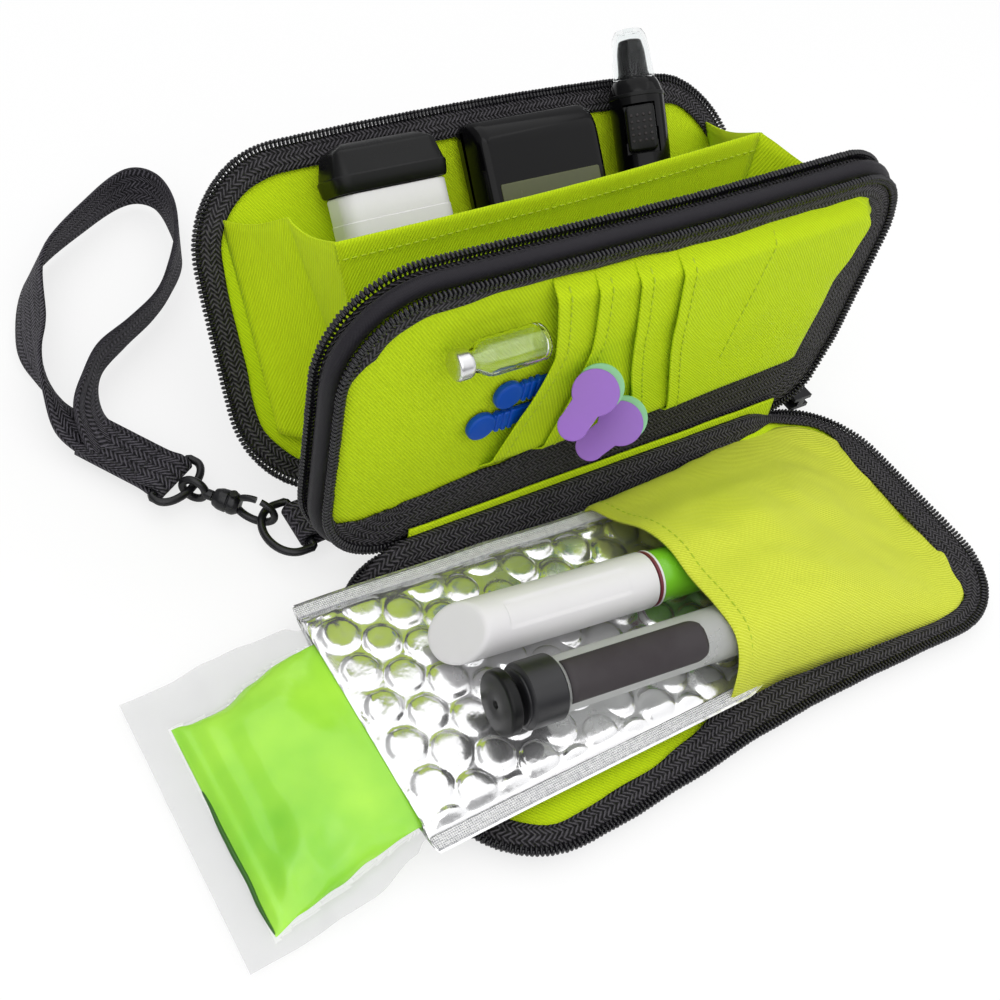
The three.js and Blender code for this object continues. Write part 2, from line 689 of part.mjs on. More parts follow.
function pouchSection(x, half, foot, top) {
  const seam = (foot + top) / 2;
  const inner = half - 3.5;
  return [
    [-half, seam - 0.6], [-inner, foot], [inner, foot], [half, seam - 0.6],
    [half, seam + 0.6], [inner, top], [-inner, top], [-half, seam + 0.6],
  ].map(([y, z]) => new THREE.Vector3(x, y, z));
}
const pouchHalf = pouchWidth / 2;
const pocketedHalf = pocketHalf - 2;
const topAt = (x) => pouchTop - Math.max(0, x - penEndX) * pouchSlope;
const pouchBody = loft([
  pouchSection(pouchLip, pouchHalf, chainCrest, pouchTop),
  pouchSection(penEndX, pouchHalf, chainCrest, pouchTop),
  pouchSection(mouthX - 22, pouchHalf, chainCrest, topAt(mouthX - 22)),
  pouchSection(mouthX - 4, pocketedHalf, chainCrest, topAt(mouthX - 4)),
  pouchSection(pouchEnd - 14, pocketedHalf, chainCrest, topAt(pouchEnd - 14)),
  pouchSection(pouchEnd, pocketedHalf - 1, chainCrest, chainCrest + 1.6),
]);
const sleeveHalf = gelWidth / 2 + gelGap;
const sleeve = box(sleeveEnd - pouchLip + 2, 2 * sleeveHalf, sleeveTop - sleeveFoot,
  (sleeveEnd + pouchLip) / 2 - 1, 0, (sleeveTop + sleeveFoot) / 2);
add(frontCover, "foil_pouch", cut(pouchBody, sleeve), metals.foil);

// Gel pack: film margins round a soft filling, its inner end flat in the sleeve
function gelSection(x, half, fill, foot, top) {
  const middle = (foot + top) / 2;
  return [
    [-half, middle - 0.35], [-fill, foot + 0.4], [-fill * 0.6, foot], [fill * 0.6, foot],
    [fill, foot + 0.4], [half, middle - 0.35], [half, middle + 0.35], [fill, top - 0.4],
    [fill * 0.6, top], [-fill * 0.6, top], [-fill, top - 0.4], [-half, middle + 0.35],
  ].map(([y, z]) => new THREE.Vector3(x, y, z));
}
const gelHalf = gelWidth / 2;
const filmHalf = gelHalf + 4;
const gelFoot = sleeveFoot + gelGap;
const gelTop = sleeveTop - gelGap - 0.2;
const gelTip = pouchLip - gelOut;
add(frontCover, "gel_pack", loft([
  gelSection(gelTip, filmHalf, gelHalf - 4, 2.4, 3.4),
  gelSection(gelTip + 10, filmHalf, gelHalf - 4, 2, 4),
  gelSection(gelTip + 14, filmHalf, gelHalf - 4, 1.4, 0.6 * gelBulge),
  gelSection(gelTip + 24, filmHalf, gelHalf - 4, 1, gelBulge),
  gelSection(pouchLip - 15, filmHalf, gelHalf - 4, 2.6, gelBulge + 1.2),
  gelSection(pouchLip - 5, gelHalf + 2, gelHalf - 4, 0.8 * gelFoot, gelTop + 0.6),
  gelSection(pouchLip - 1.4, gelHalf, gelHalf - 4, gelFoot, gelTop),
  gelSection(pouchLip + gelIn - 13, gelHalf, gelHalf - 4, gelFoot, gelTop),
  gelSection(pouchLip + gelIn, gelHalf, gelHalf - 4, gelFoot + 0.8, gelTop - 0.8),
]), plastics.gel);

// Two pens side by side on the pouch, each along its own local X
function penFrame(x, row, radius) {
  const frame = new THREE.Group();
  frame.position.set(x, row, pouchTop + seamGap + radius);
  frame.rotation.order = "ZYX";
  frame.rotation.z = penYaw * toRadians;
  frame.rotation.y = penTilt * toRadians;
  frontCover.add(frame);
  return frame;
}
const cappedPen = penFrame(penEndX, penRow, capRadius);
add(cappedPen, "pen_cap", alongX(turned([
  [0, 0], [capRadius * 0.62, 0], [capRadius * 0.74, 0.6], [capRadius, 5.2], [capRadius, capLength], [0, capLength],
])), plastics.white);
const bandStart = capLength + seamGap;
const bandEnd = bandStart + bandLength;
add(cappedPen, "pen_barrel", alongX(turned([
  [0, bandStart], [capRadius, bandStart], [capRadius, bandEnd], [penRadius, bandEnd],
  [penRadius, penLength - 4], [penRadius * 0.7, penLength], [0, penLength],
])), plastics.green);

const dialPen = penFrame(penEndX + dialPenShift, penRow - penSpacing, flangeRadius);
const discLength = 3.5;
const stemRadius = 3.2;
const stemEnd = discLength + buttonTravel + 2;
const dialStart = discLength + buttonTravel + seamGap;
const stemBoreEnd = stemEnd + buttonTravel + seamGap;
const flangeStart = dialStart + neckLength;
const dialEnd = flangeStart + 2.2;
add(dialPen, "pen_button", alongX(turned([
  [0, 0], [buttonRadius - 0.6, 0], [buttonRadius, 0.6], [buttonRadius, discLength], [stemRadius, discLength],
  [stemRadius, stemEnd], [0, stemEnd],
])), plastics.black);
add(dialPen, "pen_dial", alongX(turned([
  [0, stemBoreEnd], [stemRadius + seamGap, stemBoreEnd], [stemRadius + seamGap, dialStart], [dialRadius, dialStart],
  [dialRadius, flangeStart], [flangeRadius, flangeStart], [flangeRadius, dialEnd], [0, dialEnd],
])), plastics.black);
const bodyStart = dialEnd + seamGap;
const penTube = alongX(turned([
  [0, bodyStart], [penRadius, bodyStart], [penRadius, penLength - 4], [penRadius * 0.7, penLength], [0, penLength],
]));
const stripStart = bodyStart + 0.6;
const stripInner = penRadius - 0.6;
const stripOuter = penRadius + 0.7;
const stripArc = Array.from({ length: 9 }, (_, i) => (-75 + i * 18.75) * toRadians);
const stripRound = [
  [stripStart, 1], [stripStart + stripLength - 8, 1], [stripStart + stripLength - 3, 0.8],
  [stripStart + stripLength, 0.4],
];
const stripLoops = stripRound.map(([x, spread]) => [
  ...stripArc.map((turn) => {
    return new THREE.Vector3(x, stripOuter * Math.sin(turn * spread), stripOuter * Math.cos(turn * spread));
  }),
  ...stripArc.toReversed().map((turn) => {
    return new THREE.Vector3(x, stripInner * Math.sin(turn * spread), stripInner * Math.cos(turn * spread));
  }),
]);

// The dark strip is an arched cover: outer and inner arcs skinned along the pen
function archedCover(loops) {
  const count = loops[0].length;
  const index = [];
  for (let i = 0; i < loops.length - 1; i++) {
    for (let j = 0; j < count; j++) {
      const k = (j + 1) % count;
      index.push(i * count + j, i * count + k, (i + 1) * count + k);
      index.push(i * count + j, (i + 1) * count + k, (i + 1) * count + j);
    }
  }
  const end = (loops.length - 1) * count;
  for (let j = 0; j < count / 2 - 1; j++) {
    const far = count - 1 - j;
    index.push(j, far, far - 1, j, far - 1, j + 1);
    index.push(end + j, end + far - 1, end + far, end + j, end + j + 1, end + far - 1);
  }
  return closedBody(loops.flat(), index);
}
add(dialPen, "pen_body", join(penTube, archedCover(stripLoops)), plastics.grey);

// Meter against the back cover's lining
const meter = new THREE.Group();
const deviceLevel = 2 * seamGap + tapeThickness + 0.6;
meter.position.set(meterX, meterFoot + meterHeight / 2, deviceLevel);
backCover.add(meter);
const keyY = -18;
const keyHeight = 2.2;
const recess = keyHeight - seamGap;
const meterCase = cut(
  block(meterWidth, meterHeight, 8, [[-1.2, 0], [0, 1.6], [0, meterDepth - 1.6], [-1.5, meterDepth]]),
  block(16.6, 8.6, 4.2, [[0, meterDepth - recess], [0, meterDepth + 2]]).translate(0, keyY, 0),
);
add(meter, "meter_case", meterCase, plastics.black);
const displayLevel = meterDepth + seamGap;
const display = block(displayWidth, displayHeight, 3, [[0, displayLevel], [-0.5, displayLevel + 0.7]]);
add(meter, "meter_display", display.translate(0, displayUp, 0), plastics.display);
const keyFoot = meterDepth - recess + keyTravel + 0.2;
const key = block(16, 8, 3.9, [[0, keyFoot], [0, keyFoot + keyHeight - 0.5], [-0.6, keyFoot + keyHeight]]);
add(meter, "meter_key", key.translate(0, keyY, 0), plastics.grey);

// Test strip vial, an oblong tub with a flip cap
const vialLevel = seamGap + 0.5;
const stripVial = new THREE.Group();
stripVial.position.set(vialX, vialFoot, vialDepth / 2 + vialLevel);
backCover.add(stripVial);
const tubRadius = vialDepth / 2 - 0.1;
add(stripVial, "strip_vial", block(vialWidth - 2, vialDepth - 2, tubRadius - 1, [[-1, 0], [0, 1], [0, vialHeight]])
  .rotateX(-Math.PI / 2), plastics.white);
const capFoot = vialHeight + seamGap;
add(stripVial, "strip_vial_cap", block(vialWidth, vialDepth, tubRadius, [
  [0, capFoot], [0, capFoot + vialCapHeight - 3], [-1, capFoot + vialCapHeight - 0.8], [-3, capFoot + vialCapHeight],
]).rotateX(-Math.PI / 2), plastics.black);

// Lancing device with a clear cap and a release button on its front
const lancer = new THREE.Group();
lancer.position.set(lancerX, lancerFoot, lancerRadius + deviceLevel);
lancer.rotation.order = "ZYX";
lancer.rotation.z = -lancerTilt * toRadians;
lancer.rotation.y = lancerTurn * toRadians;
backCover.add(lancer);
const releaseY = lancerLength - 16;
const releaseTravel = 1.2;
const releaseFoot = lancerRadius - 2;
const lancerBody = cut(
  turned([
    [0, 0], [lancerRadius * 0.72, 0], [lancerRadius * 0.9, 3], [lancerRadius * 0.86, lancerLength * 0.5],
    [lancerRadius, lancerLength * 0.72], [lancerRadius, lancerLength - 5], [lancerRadius * 0.78, lancerLength],
    [0, lancerLength],
  ]),
  block(10.6, 16.6, 4.3, [[0, releaseFoot - releaseTravel - seamGap], [0, lancerRadius + 3]])
    .translate(0, releaseY, 0),
);
add(lancer, "lancer_body", lancerBody, plastics.black);
add(lancer, "lancer_button", block(10, 16, 4, [[0, releaseFoot], [0, lancerRadius + 0.5], [-0.8, lancerRadius + 1.4]])
  .translate(0, releaseY, 0), plastics.dark);
const capStart = lancerLength + seamGap;
add(lancer, "lancer_cap", turned([
  [0, capStart], [lancerRadius * 0.76, capStart], [lancerRadius * 0.62, capStart + lancerCapLength - 1],
  [lancerRadius * 0.5, capStart + lancerCapLength], [0, capStart + lancerCapLength],
]), plastics.clear);

// Insulin vial lying against the divider with its far end at the first slot
const ampoule = new THREE.Group();
ampoule.position.set(slotHems[0][0] - ampouleLength - 0.8, ampouleHeight, dividerFace + seamGap + ampouleRadius);
divider.add(ampoule);
add(ampoule, "insulin_vial", alongX(turned([
  [0, 0], [ampouleRadius * 0.55, 0], [ampouleRadius * 0.6, 1.5], [ampouleRadius, 5],
  [ampouleRadius, ampouleLength - 1], [ampouleRadius - 1, ampouleLength], [0, ampouleLength],
])), plastics.clear);
add(ampoule, "insulin_vial_cap", alongX(turned([
  [0, -crimpLength], [ampouleRadius * 0.8, -crimpLength], [ampouleRadius * 0.8, -seamGap], [0, -seamGap],
])), metals.silver);

// Lancets: round twist heads with flat stems tucked into the first slot
lancetPlaces.forEach(([x, v], i) => {
  const head = turned([
    [0, 0], [lancetRadius, 0], [lancetRadius, lancetDepth], [0, lancetDepth],
  ], 14).rotateX(Math.PI / 2);
  const reach = slotHems[0][1] + 3 - x;
  const stem = box(reach, 3.4, lancetDepth * 0.8, reach / 2, 0, lancetDepth / 2);
  const lancet = join(head, stem);
  add(divider, `lancet_${i + 1}`, lancet.translate(x, v, dividerFace + seamGap), plastics.blue);
});

// Pen needles: short caps, each closed by a keyhole-shaped peel tab
needlePlaces.forEach(([x, v, w], i) => {
  const needle = new THREE.Group();
  needle.position.set(x, v, w);
  const out = new THREE.Vector3(-0.53, 0.71, 0.46).normalize();
  needle.quaternion.setFromUnitVectors(new THREE.Vector3(0, 1, 0), out);
  divider.add(needle);
  const cap = turned([
    [0, -needleLength], [needleRadius * 0.6, -needleLength], [needleRadius, -3],
    [needleRadius, -seamGap], [0, -seamGap],
  ], 16);
  add(needle, `needle_cap_${i + 1}`, cap, plastics.green);
  const disc = turned([[0, 0], [tabRadius, 0], [tabRadius, 0.8], [0, 0.8]], 18);
  const lobe = turned([[0, 0], [tabLobe, 0], [tabLobe, 0.8], [0, 0.8]], 14)
    .translate(0, 0, tabRadius + 2.4)
    .rotateY(needleTurns[i] * toRadians);
  add(needle, `needle_tab_${i + 1}`, join(disc, lobe), plastics.purple);
});

export default root;
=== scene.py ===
from math import atan2, cos, degrees, exp, hypot, pi, radians, sin, sqrt
import bmesh
import bpy
from mathutils import Matrix, Vector, noise


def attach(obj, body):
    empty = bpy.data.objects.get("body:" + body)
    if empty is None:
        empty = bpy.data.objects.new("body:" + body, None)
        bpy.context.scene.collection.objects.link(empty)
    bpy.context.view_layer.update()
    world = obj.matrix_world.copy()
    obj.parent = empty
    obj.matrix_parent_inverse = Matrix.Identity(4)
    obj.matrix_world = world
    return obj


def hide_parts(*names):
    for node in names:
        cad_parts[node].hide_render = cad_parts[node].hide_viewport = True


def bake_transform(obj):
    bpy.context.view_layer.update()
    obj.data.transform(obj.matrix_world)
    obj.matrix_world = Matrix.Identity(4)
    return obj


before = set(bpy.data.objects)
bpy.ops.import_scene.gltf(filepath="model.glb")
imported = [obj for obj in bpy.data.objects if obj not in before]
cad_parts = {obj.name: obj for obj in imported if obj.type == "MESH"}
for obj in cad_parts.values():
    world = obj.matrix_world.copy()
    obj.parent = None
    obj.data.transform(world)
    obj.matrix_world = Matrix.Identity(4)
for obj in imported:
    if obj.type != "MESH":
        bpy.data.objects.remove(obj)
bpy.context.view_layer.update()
scene = bpy.context.scene
scene.view_settings.view_transform = "Standard"

# lengths below are millimetres, meshes are made in metres
case = {"halfLength": 102, "halfHeight": 48, "corner": 28, "bend": 14, "longCut": 48, "shortCut": 14}


move = Matrix.Translation


def spin(turn, axis):
    return Matrix.Rotation(radians(turn), 4, axis)


def panelFrame(y, z, lean):
    turn = spin(180 - lean, "X")
    return move((0, y, z)) @ turn @ move((0, case["halfHeight"], 0))


def axesFrame(spot, xAxis, yAxis):
    x = Vector(xAxis).normalized()
    z = x.cross(Vector(yAxis)).normalized()
    y = z.cross(x)
    return move(spot) @ Matrix((x, y, z)).transposed().to_4x4()


frontFrame = move((0, -53.2, 0))
dividerFrame = panelFrame(0, 8, 91.6)
backFrame = panelFrame(27, 6, 133)
dividerTurn = spin(88.4, "X")
backTurn = spin(47, "X")
penTurn = spin(-5.5, "Z") @ spin(2.2, "Y")


# the soft panels lie a little out of true, as photographed
slack = {
    "frontPull": [(-102, -1.6), (-62, -1.0), (-40, 0.2), (-10, 2.2), (10, 2.8), (30, 2.4), (50, 1.6),
                  (75, 0.6), (102, -0.8)],
    "frontHinge": -5.2, "frontEnd": 2.0, "frontEndFrom": 50,
    "dividerEnd": 3.0, "dividerEndFrom": 40, "dividerTip": 1.8, "dividerTipFrom": 88,
    "dividerYaw": 3.0, "dividerYawFrom": -10, "dividerRise": (8, 30),
    "backBow": 2.6, "backBowHalf": 95, "backDraw": 0.03,
    "backTip": 2.4, "backTipFrom": 72, "backTipRise": (0.1, 0.6),
    "spineLift": 8.4, "spineGap": 1.6, "spineLean": 0.3, "spineFrom": 38,
    "spineRight": (58, 84), "spineLeft": (74, 95),
}


def spineRise(x, y):
    ends = smoothStep(*slack["spineRight"], x) if x > 0 else smoothStep(*slack["spineLeft"], -x)
    return slack["spineLift"] * smoothStep(slack["spineFrom"], case["halfHeight"], y) * (1 - ends)


def endPull(key, x):
    # grows from a place along the case to its right end
    return slack[key] * smoothStep(slack[key + "From"], case["halfLength"], x)


def settleFront(spot):
    share = min(1, max(0, (slack["frontHinge"] - spot.y) / (2 * case["halfHeight"])))
    return spot + Vector((-endPull("frontEnd", spot.x), readLine(slack["frontPull"], spot.x) * share, 0))


def settleDivider(spot):
    draw = endPull("dividerEnd", spot.x) + endPull("dividerTip", spot.x)
    return spot + Vector((-draw, endPull("dividerYaw", spot.x) * smoothStep(*slack["dividerRise"], spot.z), 0))


def settleBack(spot):
    local = backFrame.inverted() @ spot
    v = local.y / (2 * case["halfHeight"]) + 0.5
    local.y += slack["backBow"] * max(0, 1 - (local.x / slack["backBowHalf"]) ** 2) * max(0, v) ** 3
    local.x *= 1 - slack["backDraw"] * max(0, v) ** 2
    local.x -= endPull("backTip", local.x) * smoothStep(*slack["backTipRise"], v)
    return backFrame @ local


def smoothStep(low, high, value):
    t = min(1, max(0, (value - low) / (high - low)))
    return t * t * (3 - 2 * t)


def ripple(x, y, seed, size):
    return noise.noise(Vector((x / size, y / size, seed)))


def smoothLine(points, steps):
    # rounds a run of points with equal steps between each pair
    points = [Vector(p) for p in points]
    line = []
    for i in range(len(points) - 1):
        a, b, c, d = (points[min(max(i + k, 0), len(points) - 1)] for k in (-1, 0, 1, 2))
        for s in range(steps):
            t = s / steps
            line.append(0.5 * (2 * b + (c - a) * t + (2 * a - 5 * b + 4 * c - d) * t ** 2
                               + (3 * b - a - 3 * c + d) * t ** 3))
    return line + points[-1:]


def readLine(table, place):
    # a value between the pairs of a table, eased at each pair
    for (a, low), (b, high) in zip(table, table[1:]):
        if place <= b:
            return low + (high - low) * smoothStep(a, b, place)
    return table[-1][1]


# making meshes
def bake(piece):
    bpy.context.view_layer.update()
    graph = bpy.context.evaluated_depsgraph_get()
    made = bpy.data.meshes.new_from_object(piece.evaluated_get(graph))
    piece.modifiers.clear()
    old = piece.data
    piece.data = made
    bpy.data.meshes.remove(old)
    made.name = piece.name
    return piece


def thicken(piece, thick):
    wall = piece.modifiers.new("wall", "SOLIDIFY")
    wall.thickness = thick * 0.001
    wall.offset = 0
    return bake(piece)


def meshPiece(name, points, faces, uvs, finish, outward, sharp):
    mesh = bpy.data.meshes.new(name)
    mesh.from_pydata([Vector(p) * 0.001 for p in points], [], faces)
    layer = mesh.uv_layers.new(name="weave")
    for spot, uv in zip(layer.data, uvs):
        spot.uv = uv
    if outward:
        edit = bmesh.new()
        edit.from_mesh(mesh)
        bmesh.ops.recalc_face_normals(edit, faces=edit.faces)
        edit.to_mesh(mesh)
        edit.free()
    mesh.polygons.foreach_set("use_smooth", [True] * len(mesh.polygons))
    if sharp:
        mesh.set_sharp_from_angle(angle=radians(sharp))
    mesh.materials.append(finish)
    piece = bpy.data.objects.new(name, mesh)
    scene.collection.objects.link(piece)
    return piece


def loftPiece(name, rows, finish, place=Matrix(), closed=False, wrap=False, caps=False, flat=False,
              sharp=50, thick=0, settle=None):
    # a skin over rows of points; closed joins the ends of each row, wrap joins the last row to the first
    rows = [[Vector(p) for p in row] for row in rows]
    count = len(rows[0])
    span = count if closed else count - 1
    along, across = [], []
    for r, row in enumerate(rows):
        loop = row + row[:1] if closed else row
        line = [0.0]
        for a, b in zip(loop, loop[1:]):
            line.append(line[-1] + (b - a).length)
        along.append(line)
        before = rows[max(r - 1, 0)]
        steps = [(row[c % count] - before[c % count]).length for c in range(len(loop))]
        across.append([(across[-1][c] if across else 0) + steps[c] for c in range(len(loop))])

    def uvAt(r, c):
        spot = rows[r][c % count]
        return (spot.x, spot.y) if flat else (along[len(rows) // 2 if closed else r][c], across[r][c])

    faces, uvs = [], []
    for r in range(len(rows) if wrap else len(rows) - 1):
        n = (r + 1) % len(rows)
        for c in range(span):
            d = (c + 1) % count
            faces.append((r * count + c, r * count + d, n * count + d, n * count + c))
            uvs += [uvAt(r, c), uvAt(r, c + 1), uvAt(n, c + 1), uvAt(n, c)]
    if caps:
        for r, order in ((0, list(range(count))[::-1]), (len(rows) - 1, list(range(count)))):
            faces.append([r * count + c for c in order])
            uvs += [(rows[r][c].x + rows[r][c].z, rows[r][c].y) for c in order]
    points = [settle(place @ p) if settle else place @ p for row in rows for p in row]
    piece = meshPiece(name, points, faces, uvs, finish, caps or wrap, sharp)
    return thicken(piece, thick) if thick else piece


def solidPiece(name, rows, finish, place, sharp):
    return loftPiece(name, rows, finish, place, closed=True, caps=True, sharp=sharp)


def roundRect(halfX, halfY, radius, bend, longCut, shortCut):
    # counter-clockwise from the foot of the lower right corner
    radius = max(0.2, min(radius, halfX - 0.05, halfY - 0.05))
    cx, cy = halfX - radius, halfY - radius
    arcs = []
    for px, py, start in ((cx, -cy, -90), (cx, cy, 0), (-cx, cy, 90), (-cx, -cy, 180)):
        turns = [radians(start + 90 * i / bend) for i in range(bend + 1)]
        arcs.append([(px + radius * cos(a), py + radius * sin(a)) for a in turns])
    line = []
    for i, cut in enumerate((shortCut, longCut, shortCut, longCut)):
        line += arcs[i]
        a, b = arcs[i][-1], arcs[(i + 1) % 4][0]
        line += [(a[0] + (b[0] - a[0]) * k / cut, a[1] + (b[1] - a[1]) * k / cut) for k in range(1, cut)]
    return line


def caseLoop(offset):
    sides = (case[key] + offset for key in ("halfLength", "halfHeight", "corner"))
    return roundRect(*sides, case["bend"], case["longCut"], case["shortCut"])


def caseRun(offset, level, spineAbove):
    # three sides of the outline, leaving the spine side open
    run = caseLoop(offset)[:1 - case["longCut"]]
    side = -1 if spineAbove else 1
    return [Vector((side * x, side * y, level)) for x, y in run]


def stackPiece(name, halfX, halfY, radius, levels, finish, place=Matrix(), bend=8, sharp=40):
    # a block built from rounded outlines; levels are (inset, height) pairs
    rows = [[(x, y, z) for x, y in roundRect(halfX - inset, halfY - inset, radius - inset, bend, 6, 6)]
            for inset, z in levels]
    return solidPiece(name, rows, finish, place, sharp)


def fillet(profile):
    # profile points are (along, radius) or (along, radius, rounding)
    steps = 5
    line = []
    for i, point in enumerate(profile):
        here = Vector(point[:2])
        size = point[2] if len(point) > 2 else 0
        if not size or i in (0, len(profile) - 1):
            line.append(here)
            continue
        before = Vector(profile[i - 1][:2]) - here
        after = Vector(profile[i + 1][:2]) - here
        reach = min(size, before.length * 0.49, after.length * 0.49)
        a, b = here + before.normalized() * reach, here + after.normalized() * reach
        for s in range(steps + 1):
            t = s / steps
            line.append((1 - t) ** 2 * a + 2 * t * (1 - t) * here + t * t * b)
    return line


def ringRows(rings, sides, axis, ribDeep=0):
    # rings are (along, radius, share of a rib); a rib draws in every other point
    rows = []
    for along, radius, rib in rings:
        rows.append([])
        for i in range(sides):
            a, r = 2 * pi * i / sides, radius - rib * ribDeep * (i % 2)
            rows[-1].append((along, r * cos(a), r * sin(a)) if axis == "X" else (r * sin(a), along, r * cos(a)))
    return rows


def lathePiece(name, profile, finish, place, axis="X", sides=48, sharp=35):
    rings = [(along, max(radius, 0.02), 0) for along, radius in fillet(profile)]
    return solidPiece(name, ringRows(rings, sides, axis), finish, place, sharp)


def tubePiece(name, line, radius, finish, place=Matrix(), closed=False, sides=14):
    # a round wire; radius may change along it
    line = [Vector(p) for p in line]
    count = len(line)
    side = None
    rows = []
    for i, spot in enumerate(line):
        before = line[i - 1] if closed or i else line[i]
        after = line[(i + 1) % count] if closed or i < count - 1 else line[i]
        ahead = (after - before).normalized()
        if side is None:
            side = ahead.orthogonal().normalized()
        side = (side - ahead * side.dot(ahead)).normalized()
        other = ahead.cross(side)
        wide = radius(i / (count - 1)) if callable(radius) else radius
        rows.append([spot + wide * (cos(a) * side + sin(a) * other)
                     for a in (2 * pi * k / sides for k in range(sides))])
    return loftPiece(name, rows, finish, place, closed=True, wrap=closed, caps=not closed, sharp=60)


def joinPieces(name, pieces):
    target = pieces[0]
    bpy.ops.object.select_all(action="DESELECT")
    for piece in pieces:
        piece.select_set(True)
    bpy.context.view_layer.objects.active = target
    bpy.ops.object.join()
    target.name = name
    target.data.name = name
    return target


def dress(piece, body, slot, *nodes, blend=None):
    if blend:
        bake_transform(piece)
    else:
        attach(piece, body)
    if nodes:
        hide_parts(*nodes)
    return piece


# making nodes
def addNode(tree, kind, sockets=None, **settings):
    made = tree.nodes.new(kind)
    for key, value in settings.items():
        setattr(made, key, value)
    for key, value in (sockets or {}).items():
        if isinstance(value, bpy.types.NodeSocket):
            tree.links.new(value, made.inputs[key])
        else:
            made.inputs[key].default_value = value
    return made


def calc(tree, operation, a, b=0.0):
    return addNode(tree, "ShaderNodeMath", {0: a, 1: b}, operation=operation).outputs[0]


def times(tree, a, b):
    return calc(tree, "MULTIPLY", a, b)


def plus(tree, a, b):
    return calc(tree, "ADD", a, b)


def sine(tree, a, scale):
    return calc(tree, "SINE", times(tree, a, scale))


def blendColor(tree, factor, a, b):
    mix = addNode(tree, "ShaderNodeMix", {0: factor, 6: (*a, 1), 7: (*b, 1)}, data_type="RGBA")
    return mix.outputs[2]


def spread(tree, value, low, high, fromLow=0.0, fromHigh=1.0):
    ranged = addNode(tree, "ShaderNodeMapRange", {0: value, 1: fromLow, 2: fromHigh, 3: low, 4: high})
    return ranged.outputs[0]


def grain(tree, scale, detail=3.0):
    where = addNode(tree, "ShaderNodeTexCoord").outputs["Object"]
    return addNode(tree, "ShaderNodeTexNoise", {
        "Vector": where, "Scale": scale, "Detail": detail, "Roughness": 0.55}).outputs[0]


def newFinish(name, color, roughness, **sockets):
    finish = bpy.data.materials.new(name)
    finish.use_nodes = True
    tree = finish.node_tree
    shader = tree.nodes["Principled BSDF"]
    shader.inputs["Base Color"].default_value = (*color, 1)
    shader.inputs["Roughness"].default_value = roughness
    for key, value in sockets.items():
        shader.inputs[key].default_value = value
    finish.diffuse_color = (*color, 1)
    return finish, tree, shader


def bumpUp(tree, shader, height, strength, distance):
    bump = addNode(tree, "ShaderNodeBump", {"Height": height, "Strength": strength, "Distance": distance})
    tree.links.new(bump.outputs[0], shader.inputs["Normal"])


def clothFinish(name, dark, light, weave, pitch, depth, roughness=0.8, sheen=0.15, stripe=3.0, speck=0.5):
    # woven cloth on the piece's own UV, whose unit is a millimetre
    finish, tree, shader = newFinish(name, light, roughness, **{
        "Sheen Weight": sheen, "Sheen Roughness": 0.4, "Specular IOR Level": 0.2})
    uv = addNode(tree, "ShaderNodeUVMap", uv_map="weave")
    split = addNode(tree, "ShaderNodeSeparateXYZ", {0: uv.outputs[0]})
    u, v = split.outputs[0], split.outputs[1]
    turn = 2 * pi / pitch
    if weave == "twill":
        ribs = sine(tree, plus(tree, u, times(tree, v, 0.75)), turn)
        warp = sine(tree, calc(tree, "SUBTRACT", u, v), turn * 1.9)
        height = plus(tree, times(tree, ribs, 0.62), times(tree, warp, 0.28))
    elif weave == "herringbone":
        slant = plus(tree, u, times(tree, calc(tree, "PINGPONG", v, stripe), 1.1))
        ribs = sine(tree, slant, turn)
        groove = calc(tree, "ABSOLUTE", sine(tree, v, pi / stripe))
        height = plus(tree, times(tree, ribs, 0.6), times(tree, groove, 0.5))
    else:
        height = times(tree, sine(tree, u, turn), sine(tree, v, turn))
    fuzz = grain(tree, 1500 if speck < 1 else 1000, 2.0)
    height = plus(tree, height, times(tree, fuzz, speck))
    # dark in the weave's valleys, light on its ribs: the woven pattern with painted shade in the valleys
    shade = spread(tree, height, 0.0, 0.9, 0.5 * speck - 0.5, 0.5 * speck + 0.75)
    # above 1, speck squares the mix into sparse bright specks: painted glints
    if speck > 1:
        shade = calc(tree, "POWER", shade, 2.4)
    cloud = times(tree, grain(tree, 40, 4.0), 0.25 if speck < 1 else 0.1)
    tree.links.new(blendColor(tree, plus(tree, shade, cloud), dark, light), shader.inputs["Base Color"])
    bumpUp(tree, shader, height, 0.75, depth * 0.001)
    return finish


def mouldFinish(name, color, roughness, fine=1400, depth=0.02, vary=0.12, **sockets):
    # moulded plastic: a fine skin, slight clouding of the colour and uneven gloss
    finish, tree, shader = newFinish(name, color, roughness, **sockets)
    cloud = grain(tree, 70, 4.0)
    dark = [c * (1 - vary) for c in color]
    light = [min(1, c * (1 + vary)) for c in color]
    tree.links.new(blendColor(tree, cloud, dark, light), shader.inputs["Base Color"])
    gloss = spread(tree, cloud, roughness * 0.75, min(1, roughness * 1.3), 0.3, 0.7)
    tree.links.new(gloss, shader.inputs["Roughness"])
    bumpUp(tree, shader, grain(tree, fine, 2.0), 0.35, depth * 0.001)
    return finish


# finishes
limeTwill = clothFinish("limeTwill", (0.44, 0.62, 0.003), (0.59, 0.77, 0.006),
                        "twill", 1.0, 0.14, 0.8, 0.02)
# the lime cloth again, lighter and with more blue for the slip pocket: painted light and sheen
pocketTwillPaintedLight = clothFinish("pocketTwillPaintedLight", (0.54, 0.61, 0.026), (0.70, 0.76, 0.078),
                          "twill", 1.0, 0.14, 0.7, 0.04)
limeThread = mouldFinish("limeThread", (0.40, 0.53, 0.010), 0.6, 2600, 0.05)
shellCloth = clothFinish("shellCloth", (0.003, 0.003, 0.004), (0.020, 0.019, 0.024),
                         "plain", 0.9, 0.2, 0.75, 0.02)
pipeCloth = clothFinish("pipeCloth", (0.006, 0.005, 0.008), (0.020, 0.018, 0.024),
                        "plain", 0.45, 0.05, 0.5, 0.05)
